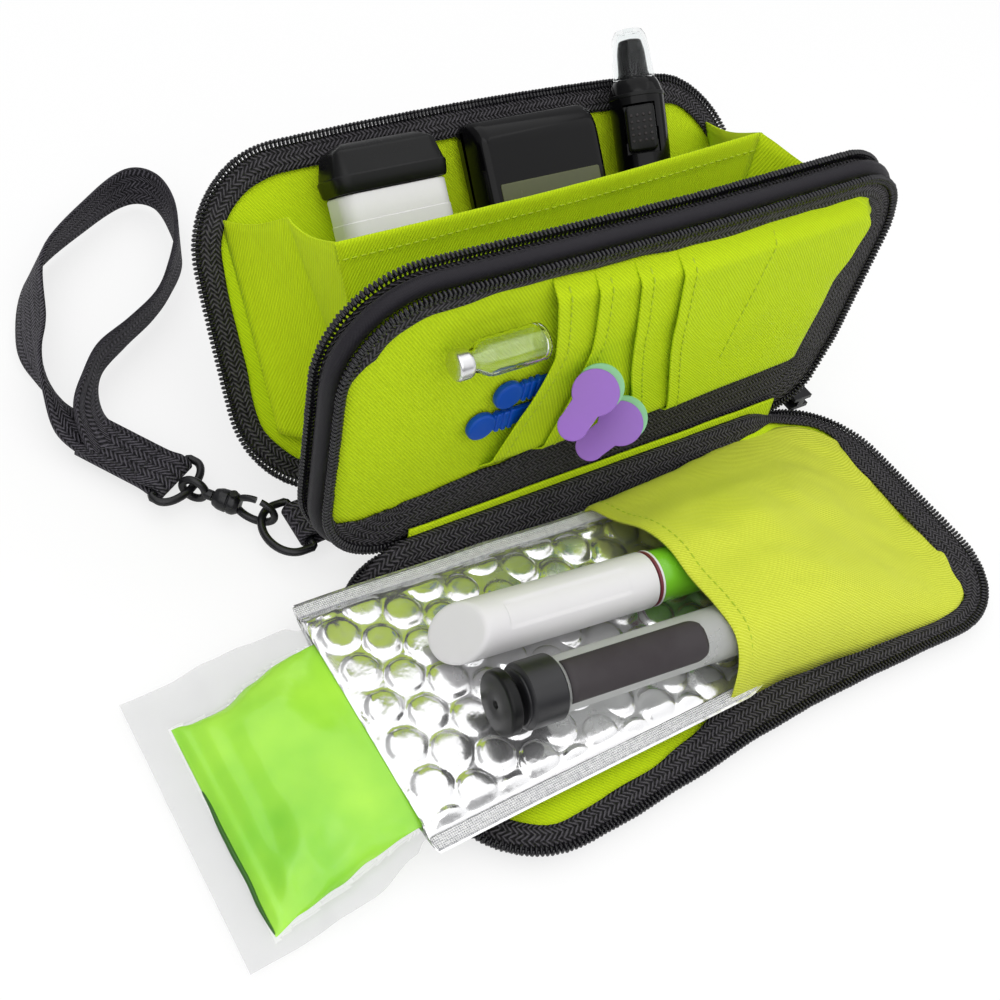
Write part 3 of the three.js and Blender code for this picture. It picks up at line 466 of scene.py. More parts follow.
# black tape and strap: the light colour stands for highlights on the ribs, painted highlights
zipTape = clothFinish("zipTape", (0.001, 0.001, 0.001), (0.104, 0.098, 0.110), "herringbone", 1.5,
                      0.8, 0.6, 0.0, 1.7, 2.0)
strapTwill = clothFinish("strapTwill", (0.001, 0.001, 0.002), (0.124, 0.116, 0.138), "herringbone", 1.6,
                         0.8, 0.6, 0.0, 2.5, 1.8)
blackThread = mouldFinish("blackThread", (0.014, 0.013, 0.016), 0.55, 2600, 0.05)
zipNylon = mouldFinish("zipNylon", (0.007, 0.0065, 0.009), 0.25, 1800, 0.03)
blackLacquer = mouldFinish("blackLacquer", (0.009, 0.009, 0.011), 0.28, 900, 0.02, 0.2, Metallic=0.3)
crimpedCap = mouldFinish("crimpedCap", (0.72, 0.72, 0.73), 0.3, 1200, 0.03, 0.06, Metallic=1.0)
whiteShell = mouldFinish("whiteShell", (0.70, 0.69, 0.70), 0.38, 1600, 0.015, 0.03)
greenBarrel = mouldFinish("greenBarrel", (0.17, 0.50, 0.02), 0.28, 1500, 0.012, 0.12)
redBand = mouldFinish("redBand", (0.16, 0.02, 0.03), 0.4, 1500, 0.012, 0.1)
mintCap = mouldFinish("mintCap", (0.22, 0.52, 0.27), 0.35, 1500, 0.015, 0.06)
softBlack = mouldFinish("softBlack", (0.005, 0.0052, 0.0055), 0.30, 1900, 0.02, 0.2,
                        **{"Specular IOR Level": 0.2})
glossBlack = mouldFinish("glossBlack", (0.002, 0.002, 0.0025), 0.15, 700, 0.004, 0.2,
                         **{"Specular IOR Level": 0.18})
sleeveDark = mouldFinish("sleeveDark", (0.026, 0.020, 0.023), 0.62, 2200, 0.05, 0.15)
paleBarrel = mouldFinish("paleBarrel", (0.62, 0.63, 0.62), 0.34, 1500, 0.012, 0.05, **{
    "Transmission Weight": 0.45, "IOR": 1.3})
# dark green for a tube along the gel's left edge: painted shade
gelPaintedShade = mouldFinish("gelPaintedShade", (0.02, 0.10, 0.004), 0.3, 900, 0.02)
bluePlastic = mouldFinish("bluePlastic", (0.001, 0.065, 0.42), 0.36, 1500, 0.02, 0.1,
                          **{"Specular IOR Level": 0.25})
purplePaper = mouldFinish("purplePaper", (0.27, 0.11, 0.50), 0.42, 900, 0.03, 0.12)
oliveDisplay = mouldFinish("oliveDisplay", (0.072, 0.080, 0.026), 0.22, 500, 0.004, 0.2)
dialRing = mouldFinish("dialRing", (0.012, 0.012, 0.014), 0.38, 1900, 0.03, 0.2)


def foilFinish():
    finish, tree, shader = newFinish("foilFilm", (0.85, 0.85, 0.86), 0.18, Metallic=0.88)
    where = addNode(tree, "ShaderNodeTexCoord").outputs["Object"]
    crease = addNode(tree, "ShaderNodeTexVoronoi", {"Vector": where, "Scale": 190.0}, feature="SMOOTH_F1")
    soft = grain(tree, 130, 3.0)
    height = plus(tree, times(tree, crease.outputs[0], 0.35), soft)
    tree.links.new(spread(tree, soft, 0.12, 0.3, 0.3, 0.7), shader.inputs["Roughness"])
    bumpUp(tree, shader, height, 0.3, 0.0012)
    return finish


def crimpFinish():
    finish, tree, shader = newFinish("foilCrimp", (0.90, 0.90, 0.91), 0.32, Metallic=0.1)
    uv = addNode(tree, "ShaderNodeUVMap", uv_map="weave")
    split = addNode(tree, "ShaderNodeSeparateXYZ", {0: uv.outputs[0]})
    ribs = [sine(tree, calc(tree, way, *split.outputs[:2]), 5.2) for way in ("ADD", "SUBTRACT")]
    height = plus(tree, times(tree, ribs[0], ribs[1]), times(tree, grain(tree, 900), 2.4))
    # grey to white speckle over the crosshatch: the embossed pattern with painted glints of glitter
    shade = spread(tree, height, 0.0, 1.0, 0.2, 1.5)
    tree.links.new(blendColor(tree, shade, (0.46, 0.47, 0.50), (1.0, 1.0, 1.0)), shader.inputs["Base Color"])
    bumpUp(tree, shader, height, 0.7, 0.0004)
    return finish


def gelFinish():
    finish, tree, shader = newFinish("coldGel", (0.28, 0.72, 0.02), 0.2)
    shade = spread(tree, grain(tree, 34, 4.0), 0.0, 1.0, 0.3, 0.7)
    tree.links.new(blendColor(tree, shade, (0.20, 0.60, 0.003), (0.40, 0.82, 0.03)), shader.inputs["Base Color"])
    bumpUp(tree, shader, grain(tree, 90, 3.0), 0.25, 0.0012)
    return finish


def clearFinish(name, color, roughness, **sockets):
    finish, tree, shader = newFinish(name, color, roughness, **sockets)
    bumpUp(tree, shader, grain(tree, 160, 2.0), 0.15, 0.0008)
    tree.links.new(spread(tree, grain(tree, 60, 3.0), roughness * 0.6, roughness * 1.6, 0.3, 0.7),
                   shader.inputs["Roughness"])
    return finish


foilFilm = foilFinish()
foilCrimp = crimpFinish()
coldGel = gelFinish()
clearFilm = clearFinish("clearFilm", (0.72, 0.72, 0.73), 0.10, Alpha=0.05)
filmMargin = clearFinish("filmMargin", (0.62, 0.62, 0.63), 0.14, Alpha=0.30)
vialGlass = clearFinish("vialGlass", (0.95, 0.97, 0.96), 0.03, **{"Transmission Weight": 1.0, "IOR": 1.45})
clearCap = clearFinish("clearCap", (0.93, 0.95, 0.95), 0.05, **{"Transmission Weight": 1.0, "IOR": 1.15})
print("finishes made")


# beads along runs: zip teeth and stitches
def beadTree(name, finish):
    tree = bpy.data.node_groups.new(name, "GeometryNodeTree")
    tree.interface.new_socket("Runs", in_out="INPUT", socket_type="NodeSocketGeometry")
    inputs = {}
    for label, kind, start in (("Spacing", "Float", 0.0015), ("Length", "Float", 0.001),
                               ("Width", "Float", 0.003), ("Height", "Float", 0.002), ("Seed", "Int", 4)):
        item = tree.interface.new_socket(label, in_out="INPUT", socket_type="NodeSocket" + kind)
        item.default_value = start
        inputs[label] = item.identifier
    tree.interface.new_socket("Beads", in_out="OUTPUT", socket_type="NodeSocketGeometry")
    given = addNode(tree, "NodeGroupInput")
    line = addNode(tree, "GeometryNodeMeshToCurve", {"Mesh": given.outputs["Runs"]})
    spots = addNode(tree, "GeometryNodeCurveToPoints", {
        "Curve": line.outputs[0], "Length": given.outputs["Spacing"]}, mode="LENGTH")
    aim = addNode(tree, "FunctionNodeAlignRotationToVector", {"Vector": spots.outputs["Tangent"]}, axis="X")
    level = addNode(tree, "FunctionNodeAlignRotationToVector", {
        "Rotation": aim.outputs[0], "Vector": (0, 0, 1)}, axis="Z", pivot_axis="X")
    bead = addNode(tree, "GeometryNodeMeshUVSphere", {"Segments": 8, "Rings": 5, "Radius": 0.5})
    size = addNode(tree, "ShaderNodeCombineXYZ", {"X": given.outputs["Length"], "Y": given.outputs["Width"],
                                                  "Z": given.outputs["Height"]})
    uneven = addNode(tree, "FunctionNodeRandomValue", {"Seed": given.outputs["Seed"]}, data_type="FLOAT")
    uneven.inputs[2].default_value = 0.93
    uneven.inputs[3].default_value = 1.07
    scaled = addNode(tree, "ShaderNodeVectorMath", {
        0: size.outputs[0], "Scale": uneven.outputs[1]}, operation="SCALE")
    placed = addNode(tree, "GeometryNodeInstanceOnPoints", {
        "Points": spots.outputs["Points"], "Instance": bead.outputs["Mesh"], "Rotation": level.outputs[0],
        "Scale": scaled.outputs[0]})
    real = addNode(tree, "GeometryNodeRealizeInstances", {"Geometry": placed.outputs[0]})
    smooth = addNode(tree, "GeometryNodeSetShadeSmooth", {"Geometry": real.outputs[0]})
    paint = addNode(tree, "GeometryNodeSetMaterial", {"Geometry": smooth.outputs[0], "Material": finish})
    addNode(tree, "NodeGroupOutput", {0: paint.outputs[0]})
    return tree, inputs


def beadPiece(name, runs, beads, sizes, place=Matrix()):
    tree, inputs = beads
    points, edges = [], []
    for run in runs:
        edges += [(len(points) + i, len(points) + i + 1) for i in range(len(run) - 1)]
        points += run
    mesh = bpy.data.meshes.new(name)
    mesh.from_pydata([Vector(p) * 0.001 for p in points], edges, [])
    piece = bpy.data.objects.new(name, mesh)
    scene.collection.objects.link(piece)
    maker = piece.modifiers.new("beads", "NODES")
    maker.node_group = tree
    for label, value in sizes.items():
        maker[inputs[label]] = value if label == "Seed" else value * 0.001
    bake(piece)
    seat = place.copy()
    seat.translation = place.translation * 0.001
    piece.data.transform(seat)
    return piece


toothBeads = beadTree("zipTeeth", zipNylon)
limeBeads = beadTree("limeStitches", limeThread)
blackBeads = beadTree("blackStitches", blackThread)
stitch = {"Spacing": 2.6, "Length": 1.9, "Width": 0.55, "Height": 0.45, "Seed": 7}
limeRuns = {"case": [], "front_cover": []}


# covers and divider
panels = {
    "fill": [-4, -9, -15, -22, -30, -38, -44, -47.4], "wrinkle": 0.35, "liningThick": 0.8,
    "tapeThick": 0.7, "tapeWoven": 12, "tapeRun": 560,
    "toothPitch": 1.3, "tooth": (0.9, 3.0, 1.9), "head": (1.08, 1.5, 2.47), "headOut": 0.8,
    "pipeRadius": 2.45, "pipeOffset": -2.2, "pipeSides": 14,
    "frontShell": [(-47.4, 0.35), (-30, 0.25), (-12, 0.05), (-4, 0.05), (-1.2, 0.4), (0.2, 1.4), (0.3, 2.3),
                   (-0.6, 3.1), (-2.5, 3.4), (-12, 3.4), (-47.4, 3.4)],
    "backShell": [(-47.4, -1.3), (-12, -1.3), (-2.5, -1.3), (-0.6, -1.5), (0.3, -2.2), (0.2, -3.1),
                  (-1.2, -4.2), (-4, -4.75), (-12, -5.1), (-30, -5.5), (-47.4, -5.6)],
}
panelKinds = {
    "front": ("front_cover", frontFrame, settleFront, "front_shell"),
    "divider": ("case", dividerFrame, settleDivider, "divider_board"),
    "back": ("back_cover", backFrame, settleBack, "back_shell"),
}
# spine points for the front cover's cloth; dress bakes such pieces where they are and does not read the points
spineEdge = ("case", (0, -0.0155, 0.006), (0, -0.0085, 0.006))


def liningPiece(name, inset, level, side, place, seed, settle):
    rows = []
    for offset in [inset] + [o for o in panels["fill"] if o < inset - 1]:
        wrinkle = side * smoothStep(0, 14, inset - offset) * panels["wrinkle"]
        rows.append([])
        for x, y in caseLoop(offset):
            rise = spineRise(x, y) if place == frontFrame else 0
            wave = wrinkle * (ripple(x, y, seed, 34) + 0.5 * ripple(x, y, seed + 3, 13))
            rows[-1].append((x, y - slack["spineLean"] * rise, level + wave + rise))
    centre = rows[-1]
    piece = loftPiece(name, rows, limeTwill, place, closed=True, flat=True, settle=settle)
    edit = bmesh.new()
    edit.from_mesh(piece.data)
    edit.verts.ensure_lookup_table()
    first = len(edit.verts) - len(centre)
    last = edit.faces.new(edit.verts[first:])
    weave = edit.loops.layers.uv.verify()
    for loop, spot in zip(last.loops, centre):
        loop[weave].uv = spot[:2]
    last.smooth = True
    bmesh.ops.recalc_face_normals(edit, faces=edit.faces)
    edit.to_mesh(piece.data)
    edit.free()
    return thicken(piece, panels["liningThick"])


def tapePiece(name, outer, borders, level, side, place, seed, settle):
    # borders give the inner edge along the upper and the lower side, as offsets from the outline
    upper, lower = borders
    rows = [[] for k in range(10)]
    for (x, y), (ix, iy) in zip(caseLoop(0), caseLoop(-1)):
        share = min(1, max(0, (y + 20) / 40))
        inner = readLine(upper, x) * share + readLine(lower, x) * (1 - share)
        inner = min(inner, outer - 1.0) + 0.8 * ripple(x, y, seed, 13)
        for k, row in enumerate(rows):
            t = k / (len(rows) - 1)
            off = outer + t * (inner - outer)
            px, py = x - (ix - x) * off, y - (iy - y) * off
            rise = spineRise(px, py) if place == frontFrame else 0
            back = slack["spineGap"] * rise / slack["spineLift"]
            bow = 0.35 * sin(t * pi) + 0.4 * ripple(px, py, seed + 1, 9) * t
            row.append((px, py - back, level + rise + side * bow))
    return loftPiece(name, rows, zipTape, place, closed=True, thick=panels["tapeThick"], settle=settle)


def chainPiece(name, offset, level, spineAbove, place, seed, settle):
    # a bar across the tape for each tooth, with a head on its outer end
    made = []
    for part, key, out in (("", "tooth", 0), ("Heads", "head", panels["headOut"])):
        line = [place.inverted() @ settle(place @ p) for p in caseRun(offset + out, level, spineAbove)]
        sizes = dict(zip(("Length", "Width", "Height"), panels[key]))
        sizes.update({"Spacing": panels["toothPitch"], "Seed": seed + len(made)})
        made.append(beadPiece(name + part, [line], toothBeads, sizes, place))
    return joinPieces(name, made)


for name, panel in (("frontShell", "front"), ("backShell", "back")):
    body, place, settle, node = panelKinds[panel]
    rows = [[(x, y, z) for x, y in caseLoop(offset)] for offset, z in panels[name]]
    shell = loftPiece(name, rows, shellCloth, place, closed=True, caps=True, flat=True, sharp=60, settle=settle)
    dress(shell, body, "shell_cloth", node)

liningPlans = [
    ("frontLining", "front", "front_lining", -1.5, 4.2, 1, 2.3, "laid"),
    ("backLining", "back", "back_lining", -1.5, -0.45, 1, 5.1, "stretched"),
    ("dividerFrontLining", "divider", "divider_front_lining", -4.2, 3.0, 1, 7.7, "stretched"),
    ("dividerRearLining", "divider", "divider_rear_lining", -5.7, -3.0, -1, 9.4, "stretched"),
]
for name, panel, node, inset, level, side, seed, held in liningPlans:
    body, place, settle, under = panelKinds[panel]
    lining = liningPiece(name, inset, level, side, place, seed, settle)
    dress(lining, body, "lime_lining", node, blend=spineEdge if panel == "front" else None)

frontBorders = [
    [(-102, -6), (-98, -7), (-88, -8), (-74, -9.5), (-50, -10.6), (-28, -9.6), (0, -10.4), (20, -10),
     (33, -8.6), (46, -7), (60, -5.2), (74, -3.6), (92, -3.4), (98, -5), (101.6, -8.8), (102, -9.6)],
    [(-102, -6), (-74, -5.4), (-50, -6), (-32, -8), (-14, -10.4), (2, -9.6), (20, -8.4), (40, -6.6),
     (60, -5), (88, -4.6), (92, -6), (98, -9.5), (102, -10.3)]]
dividerBorders = [
    [(-102, -4.4), (-100, -6), (-98, -8.2), (-74, -7.8), (-50, -6.6), (-20, -7.0), (10, -8.4), (60, -8.6),
     (74, -9.3), (84, -9.9), (92, -11.8), (98.2, -16), (101.6, -20), (102, -21)],
    [(-102, -4.4), (-101, -5), (-98.2, -10.7), (-93.8, -15.3), (-88, -17.3), (-74, -19.7), (-46, -22),
     (-29, -24.6), (13, -24.6), (50, -24.2), (74, -24.6), (88, -24.6), (102, -24.6)]]
plainBorders = [[(-102, -11.3), (102, -11.3)]] * 2
backBorders = [[(-102, -6), (-90, -6.8), (90, -6.8), (102, -6.4)], [(-102, -5.6), (102, -6)]]
tapePlans = [
    ("frontTape", "front", "front_zip_tape", 0.6, frontBorders, 5.5, 1),
    ("dividerFrontTape", "divider", "divider_front_tape", -3.4, dividerBorders, 4.2, 1),
    ("dividerRearTape", "divider", "divider_rear_tape", -1.8, plainBorders, -4.2, -1),
    ("backTape", "back", "back_zip_tape", 0.6, backBorders, 0.75, 1),
]
for order, (name, panel, node, outer, borders, level, side) in enumerate(tapePlans):
    body, place, settle, under = panelKinds[panel]
    tape = tapePiece(name, outer, borders, level, side, place, 3.0 + 2 * order, settle)
    dress(tape, body, "zip_tape", node, blend=spineEdge if panel == "front" else None)

chainPlans = [
    ("frontChain", "front", "front_zip_chain", 1.2, 5.9),
    ("dividerFrontChain", "divider", "divider_front_chain", -2.9, 4.9),
    ("dividerRearChain", "divider", "divider_rear_chain", -0.7, -4.9),
    ("backChain", "back", "back_zip_chain", 1.2, 1.15),
]
for order, (name, panel, node, offset, level) in enumerate(chainPlans):
    body, place, settle = panelKinds[panel][:3]
    chain = chainPiece(name, offset, level, panel == "front", place, 11 + order, settle)
    dress(chain, body, "zip_chain", node)

pipeRows = []
for k in range(panels["pipeSides"]):
    a, radius = 2 * pi * k / panels["pipeSides"], panels["pipeRadius"]
    pipeRows.append([(x, y, radius * sin(a) * (1 + 0.05 * ripple(x, y, 1.5, 20)))
                     for x, y in caseLoop(panels["pipeOffset"] + radius * cos(a))])
piping = loftPiece("dividerPiping", pipeRows, pipeCloth, dividerFrame, closed=True, wrap=True,
                   settle=settleDivider)
dress(piping, "case", "shell_cloth", "divider_piping", "divider_board")
print("covers and divider made")


# spine
spine = {
    "half": 72, "deep": 13.25, "middle": 10.35, "corner": 4, "liningThick": 0.6,
    "levels": [(2.2, 0), (0.7, 0.3), (0.1, 1.2), (0, 3.5), (0.2, 6.2), (0.9, 7.1), (2.4, 7.4)],
    "liningFoot": (-6.3, 9.2), "liningRun": (0.8, 7.6),
}
spineBase = stackPiece("spineBase", spine["half"], spine["deep"], spine["corner"], spine["levels"], shellCloth,
                       move((0, spine["middle"], 0)))
dress(spineBase, "case", "shell_cloth", "spine_base")
spineRows = []
for t in (k / 8 for k in range(9)):
    y, z = (foot + run * t for foot, run in zip(spine["liningFoot"], spine["liningRun"]))
    spineRows.append([(x, y + 0.25 * ripple(x, t * 20, 4.4, 15), z + 0.3 * ripple(x, t * 20, 8.1, 18))
                      for x in (spine["half"] * (2 * i / 60 - 1) for i in range(61))])
spineLining = loftPiece("spineLining", spineRows, limeTwill, thick=spine["liningThick"])
dress(spineLining, "front_cover", "lime_lining", "spine_front_lining",
      blend=("case", (0, -0.0062, 0.0098), (0, -0.0057, 0.0145)))
print("spine made")


# slip pocket on the front cover
slip = {
    "mouth": -14, "end": 96, "corner": 22.6, "foot": 5.4, "crown": 25.2, "flatTo": 12,
    "front": [(-14, 38.6), (2, 39.2), (20, 40.6), (40, 42.4), (60, 43.4), (96, 43.4)],
    "rear": [(-14, 36.8), (8, 37.6), (20, 38.2), (33, 40), (45, 41.6), (58, 42.8), (96, 42.8)],
    "profile": [(-1, 0), (-0.97, 0.28), (-0.89, 0.68), (-0.74, 0.95), (-0.49, 1), (-0.19, 0.97), (0.11, 1),
                (0.39, 0.86), (0.67, 0.55), (0.97, 0.28), (1, 0)],
    "columns": 56, "thick": 0.7, "easeTo": 4, "stitch": (-10.2, 0.75),
    "hem": [(-8.6, -0.95), (-13.2, -0.9), (-14.2, -0.55), (-14.4, -0.1), (-14.0, 0.28), (-13.2, 0.36),
            (-9.4, 0.34), (-8.8, 0.12), (-8.2, 0.0)],
}
slipShape = smoothLine([(a, h, 0) for a, h in slip["profile"]], 8)


def slipHeight(a):
    for p, q in zip(slipShape, slipShape[1:]):
        if a <= q.x:
            return p.y + (q.y - p.y) * (a - p.x) / max(1e-6, q.x - p.x)
    return 0.0


def slipSpot(x, a, lift):
    bend = slip["end"] - slip["corner"]
    front, rear = -readLine(slip["front"], x), readLine(slip["rear"], x)
    if x > bend:
        draw = slip["corner"] - sqrt(max(0, slip["corner"] ** 2 - (x - bend) ** 2))
        front, rear = front + draw, rear - draw
    fall = min(1, max(0, (x - slip["flatTo"]) / (slip["end"] - slip["flatTo"])))
    share = (x - slip["mouth"]) / (slip["end"] - slip["mouth"])
    crown = slip["crown"] * (1 - 0.1 * share) * (0.5 + 0.5 * cos(fall * pi))
    ease = (1 - a * a) * smoothStep(slip["mouth"], slip["easeTo"], x)
    folds = 1.9 * ripple(x, a * 40, 6.2, 26) + 0.9 * ripple(x + 14 * a, a * 52, 2.8, 11)
    z = slip["foot"] + slipHeight(a) * crown + ease * folds + lift
    return Vector((x, (front + rear) / 2 + a * (rear - front) / 2, z))


slipColumns = [sin(pi * (i / slip["columns"] - 0.5)) * 0.35 + (2 * i / slip["columns"] - 1) * 0.65
               for i in range(slip["columns"] + 1)]
hemEnd = slip["hem"][-1][0]
slipLines = slip["hem"] + [(hemEnd + (slip["end"] - hemEnd) * (k / 46) ** 1.05, 0.0) for k in range(1, 47)]
slipRows = [[slipSpot(x, a, lift) for a in slipColumns] for x, lift in slipLines]
# the slip pocket's cloth is painted lighter and bluer: painted light and sheen
slipPocket = loftPiece("slipPocket", slipRows, pocketTwillPaintedLight, frontFrame, thick=slip["thick"], settle=settleFront)
dress(slipPocket, "front_cover", "lime_lining", "slip_pocket")
stitchX, stitchLift = slip["stitch"]
limeRuns["front_cover"].append([settleFront(frontFrame @ slipSpot(stitchX, a, stitchLift))
                                for a in slipColumns[2:-2]])
print("slip pocket made")


# foil pouch
pouch = {
    "lip": -111.5, "end": 22, "foot": 7.6, "top": 12.6, "slopeFrom": -87, "slope": 0.0384, "seam": 4.6,
    "front": [(-112, 38.2), (-10, 38.4), (2, 36)], "back": [(-112, 41.4), (-60, 39.6), (-16, 37.6), (2, 36)],
    "bubble": 5.5, "bubbleHigh": 1.3, "column": 9.75, "row": 12.2, "firstX": -105.05, "firstY": -34.7,
    "sleeveHalf": 33.9, "sleeveFoot": 8.55, "sleeveTop": 12.1, "sleeveEnd": -46.5, "sleeveWaist": -80,
    "crumpled": (-108, -101), "upperCuts": 128, "lowerCuts": 28, "endLevel": 8.2,
    "crimpThick": 0.25, "crimpLift": 0.25,
}


def pouchEdge(x, y):
    return readLine(pouch["back"] if y > 0 else pouch["front"], x)


def pouchBase(x):
    return pouch["top"] - max(0, x - pouch["slopeFrom"]) * pouch["slope"]


def bubbleAt(x, y):
    # flat-topped bubbles in staggered columns
    best = 0
    nearest = round((x - pouch["firstX"]) / pouch["column"])
    for c in (nearest - 1, nearest, nearest + 1):
        cx = pouch["firstX"] + c * pouch["column"]
        start = pouch["firstY"] + (c % 2) * pouch["row"] / 2
        cy = start + round((y - start) / pouch["row"]) * pouch["row"]
        if c < 0:
            continue
        size = pouch["bubble"] * (1 + 0.1 * ripple(cx, cy, 3.3, 7))
        d = hypot(x - cx - 0.5 * ripple(cx, cy, 1.3, 5), y - cy) / size
        if d < 1:
            best = max(best, (1 - d ** 5) ** 0.75 * (0.9 + 0.25 * ripple(cx, cy, 8.3, 6)))
    return best


def pouchTop(x, y):
    base = pouchBase(x)
    inner = pouchEdge(x, y) - pouch["seam"]
    edge = 1 - smoothStep(inner - 4, inner + 0.3, abs(y))
    seam = (pouch["foot"] + base) / 2 + 0.5
    atLip = 1 - smoothStep(*pouch["crumpled"], x)
    crumple = 0.25 * ripple(x, y, 5.5, 7) + 0.5 * ripple(x * 1.4, y, 2.5, 5) * atLip
    bubble = bubbleAt(x, y) * edge * pouch["bubbleHigh"]
    return seam + (base - seam) * edge + bubble + crumple * (0.3 + 0.7 * edge)


def pouchCuts(front, rear):
    # fine steps over the top, coarse ones back along the underside
    upper, lower = pouch["upperCuts"], pouch["lowerCuts"]
    return ([front + (rear - front) * i / upper for i in range(upper + 1)],
            [rear + (front - rear) * i / lower for i in range(1, lower)])


def pouchLoop(x):
    front, rear = -pouchEdge(x, -1), pouchEdge(x, 1)
    upper, lower = pouchCuts(front, rear)
    seam = (pouch["foot"] + pouchBase(x)) / 2
    loop = [Vector((x, y, pouchTop(x, y))) for y in upper]
    for y in lower:
        half = pouchEdge(x, y)
        edge = 1 - smoothStep(half - 9, half - 4, abs(y))
        loop.append(Vector((x, y, seam - 0.2 - (seam - 0.2 - pouch["foot"]) * edge)))
    return loop


def sleeveLoop(x, squeeze=0.0):
    half = pouch["sleeveHalf"]
    middle = (pouch["sleeveFoot"] + pouch["sleeveTop"]) / 2
    high = (pouch["sleeveTop"] - pouch["sleeveFoot"]) / 2 * (1 - squeeze)
    upper, lower = pouchCuts(-half, half)
    return [Vector((x, y, middle + way * high * (1 - min(1, abs(y) / half) ** 8) ** 0.5))
            for way, ys in ((1, upper), (-1, lower)) for y in ys]


lip = pouch["lip"]
lipLoops = []
for t in (0.15, 0.5, 0.85):
    inside, outside = sleeveLoop(lip - 0.2), pouchLoop(lip + 0.2)
    lipLoops.append([a.lerp(b, t) + Vector((-0.55 * sin(t * pi), 0, 0)) for a, b in zip(inside, outside)])
pouchRows = [sleeveLoop(pouch["sleeveEnd"], 0.7)]
pouchRows += [sleeveLoop(x) for x in (pouch["sleeveEnd"] - 4, pouch["sleeveWaist"], lip + 3, lip + 0.4)]
pouchRows += lipLoops
pouchRows += [pouchLoop(lip + 0.3 + (pouch["end"] - lip - 1.3) * k / 200) for k in range(201)]
endLevel = pouch["endLevel"]
pouchRows.append([Vector((pouch["end"], p.y * 0.98, endLevel + (p.z - endLevel) * 0.12))
                  for p in pouchLoop(pouch["end"] - 0.4)])
foilPouch = solidPiece("foilPouch", pouchRows, foilFilm, frontFrame, 75)
crimps = []
for side in (-1, 1):
    crimpRows = []
    for k in range(150):
        x = lip + (pouch["end"] - lip - 2) * k / 149
        lines = [pouchEdge(x, side) - back for back in (pouch["seam"] - 0.1, 3.6, 2.6, 1.7, 0.8)]
        lifts = [pouch["crimpLift"] + 0.12 * ripple(x, y, 2.2, 2.4) for y in lines]
        crimpRows.append([(x, side * y, pouchTop(x, side * y) + lift) for y, lift in zip(lines, lifts)])
    crimps.append(loftPiece("crimp", crimpRows, foilCrimp, frontFrame, thick=pouch["crimpThick"]))
foilPouch = joinPieces("foilPouch", [foilPouch] + crimps)
dress(foilPouch, "foil_pouch", "foil_film", "foil_pouch")

# gel pack in the pouch's sleeve
gel = {
    "fillFrom": -152.8, "fillTo": -51.5,
    "backEdge": [(-153, 24.2), (-146, 22.9), (-139.7, 22.7), (-130.7, 25.8), (-122.7, 27.8), (-112, 28),
                 (-51, 28)],
    "frontEdge": [(-153, -35.6), (-146, -33.9), (-135, -32.6), (-126, -30.8), (-114.5, -30.0), (-51, -29)],
    "foot": [(-153, 2.6), (-146, 1.4), (-136, 1.0), (-126.5, 2.6), (-116.5, 7.2), (-112.9, 8.95), (-51, 9.0)],
    "top": [(-153, 3.4), (-150, 5.6), (-145, 8.6), (-137, 11.6), (-126.5, 12.9), (-116.5, 12.4), (-112.9, 11.9),
            (-51, 11.6)],
    "seamShare": 0.45, "creaseFrom": (-152, -143), "creaseTo": (-121, -113),
    "corner": (-153, -36), "fanCreases": 9, "fanReach": 20, "fanWidth": 15, "fanHigh": 0.8,
    "filmRise": (-150, -138), "filmCalm": (-122, -113), "filmWrap": (0.96, 1.12), "filmTipWrap": (-155.5, -151.5),
    "filmTip": -161.4, "filmTo": -104, "filmHalf": 0.16, "filmLevel": 2.9,
    "filmBack": [(-162, 36.4), (-130, 37.5), (-116.5, 36), (-112.9, 33.4), (-90, 33)],
    "filmFront": [(-162, -40.6), (-130, -39.4), (-116.5, -35.6), (-112.9, -33.4), (-90, -33)],
}


def gelShare(x, y):
    # 0 on the middle line of the filling, 1 at its edge
    low, high = readLine(gel["frontEdge"], x), readLine(gel["backEdge"], x)
    return abs(2 * (y - low) / (high - low) - 1)


def gelLevels(x):
    foot, top = readLine(gel["foot"], x), readLine(gel["top"], x)
    return foot, foot + gel["seamShare"] * (top - foot), top


def gelTop(x, y):
    share = min(1, gelShare(x, y))
    middle, high = gelLevels(x)[1:]
    puff = (1 - share ** 4) ** 0.7
    ease = smoothStep(*gel["creaseFrom"], x) * (1 - smoothStep(*gel["creaseTo"], x))
    # creases fan out from the near corner
    cornerX, cornerY = gel["corner"]
    reach = (hypot(x - cornerX, y - cornerY) - gel["fanReach"]) / gel["fanWidth"]
    fan = sin(gel["fanCreases"] * atan2(y - cornerY, x - cornerX + 0.5)) * exp(-reach ** 2) * gel["fanHigh"]
    crease = 0.6 * ripple(x + y, y - x, 3.7, 17) + 0.25 * ripple(x, y, 9.2, 7) + fan
    return middle + (high - middle) * puff + crease * ease * puff


def gelLoop(x):
    low, high = readLine(gel["frontEdge"], x), readLine(gel["backEdge"], x)
    centre, half = (low + high) / 2, (high - low) / 2
    ys = [centre + half * sin(pi * (i / 64 - 0.5)) for i in range(65)]
    loop = [Vector((x, y, gelTop(x, y))) for y in ys]
    foot, middle = gelLevels(x)[:2]
    for y in ys[::-1][1:-1]:
        loop.append(Vector((x, y, middle - (middle - foot) * (1 - min(1, gelShare(x, y)) ** 4) ** 0.7)))
    return loop


gelRows = [gelLoop(gel["fillFrom"] + (gel["fillTo"] - gel["fillFrom"]) * (k / 84) ** 1.3) for k in range(85)]
gelFill = solidPiece("gelFilling", gelRows, coldGel, frontFrame, 70)
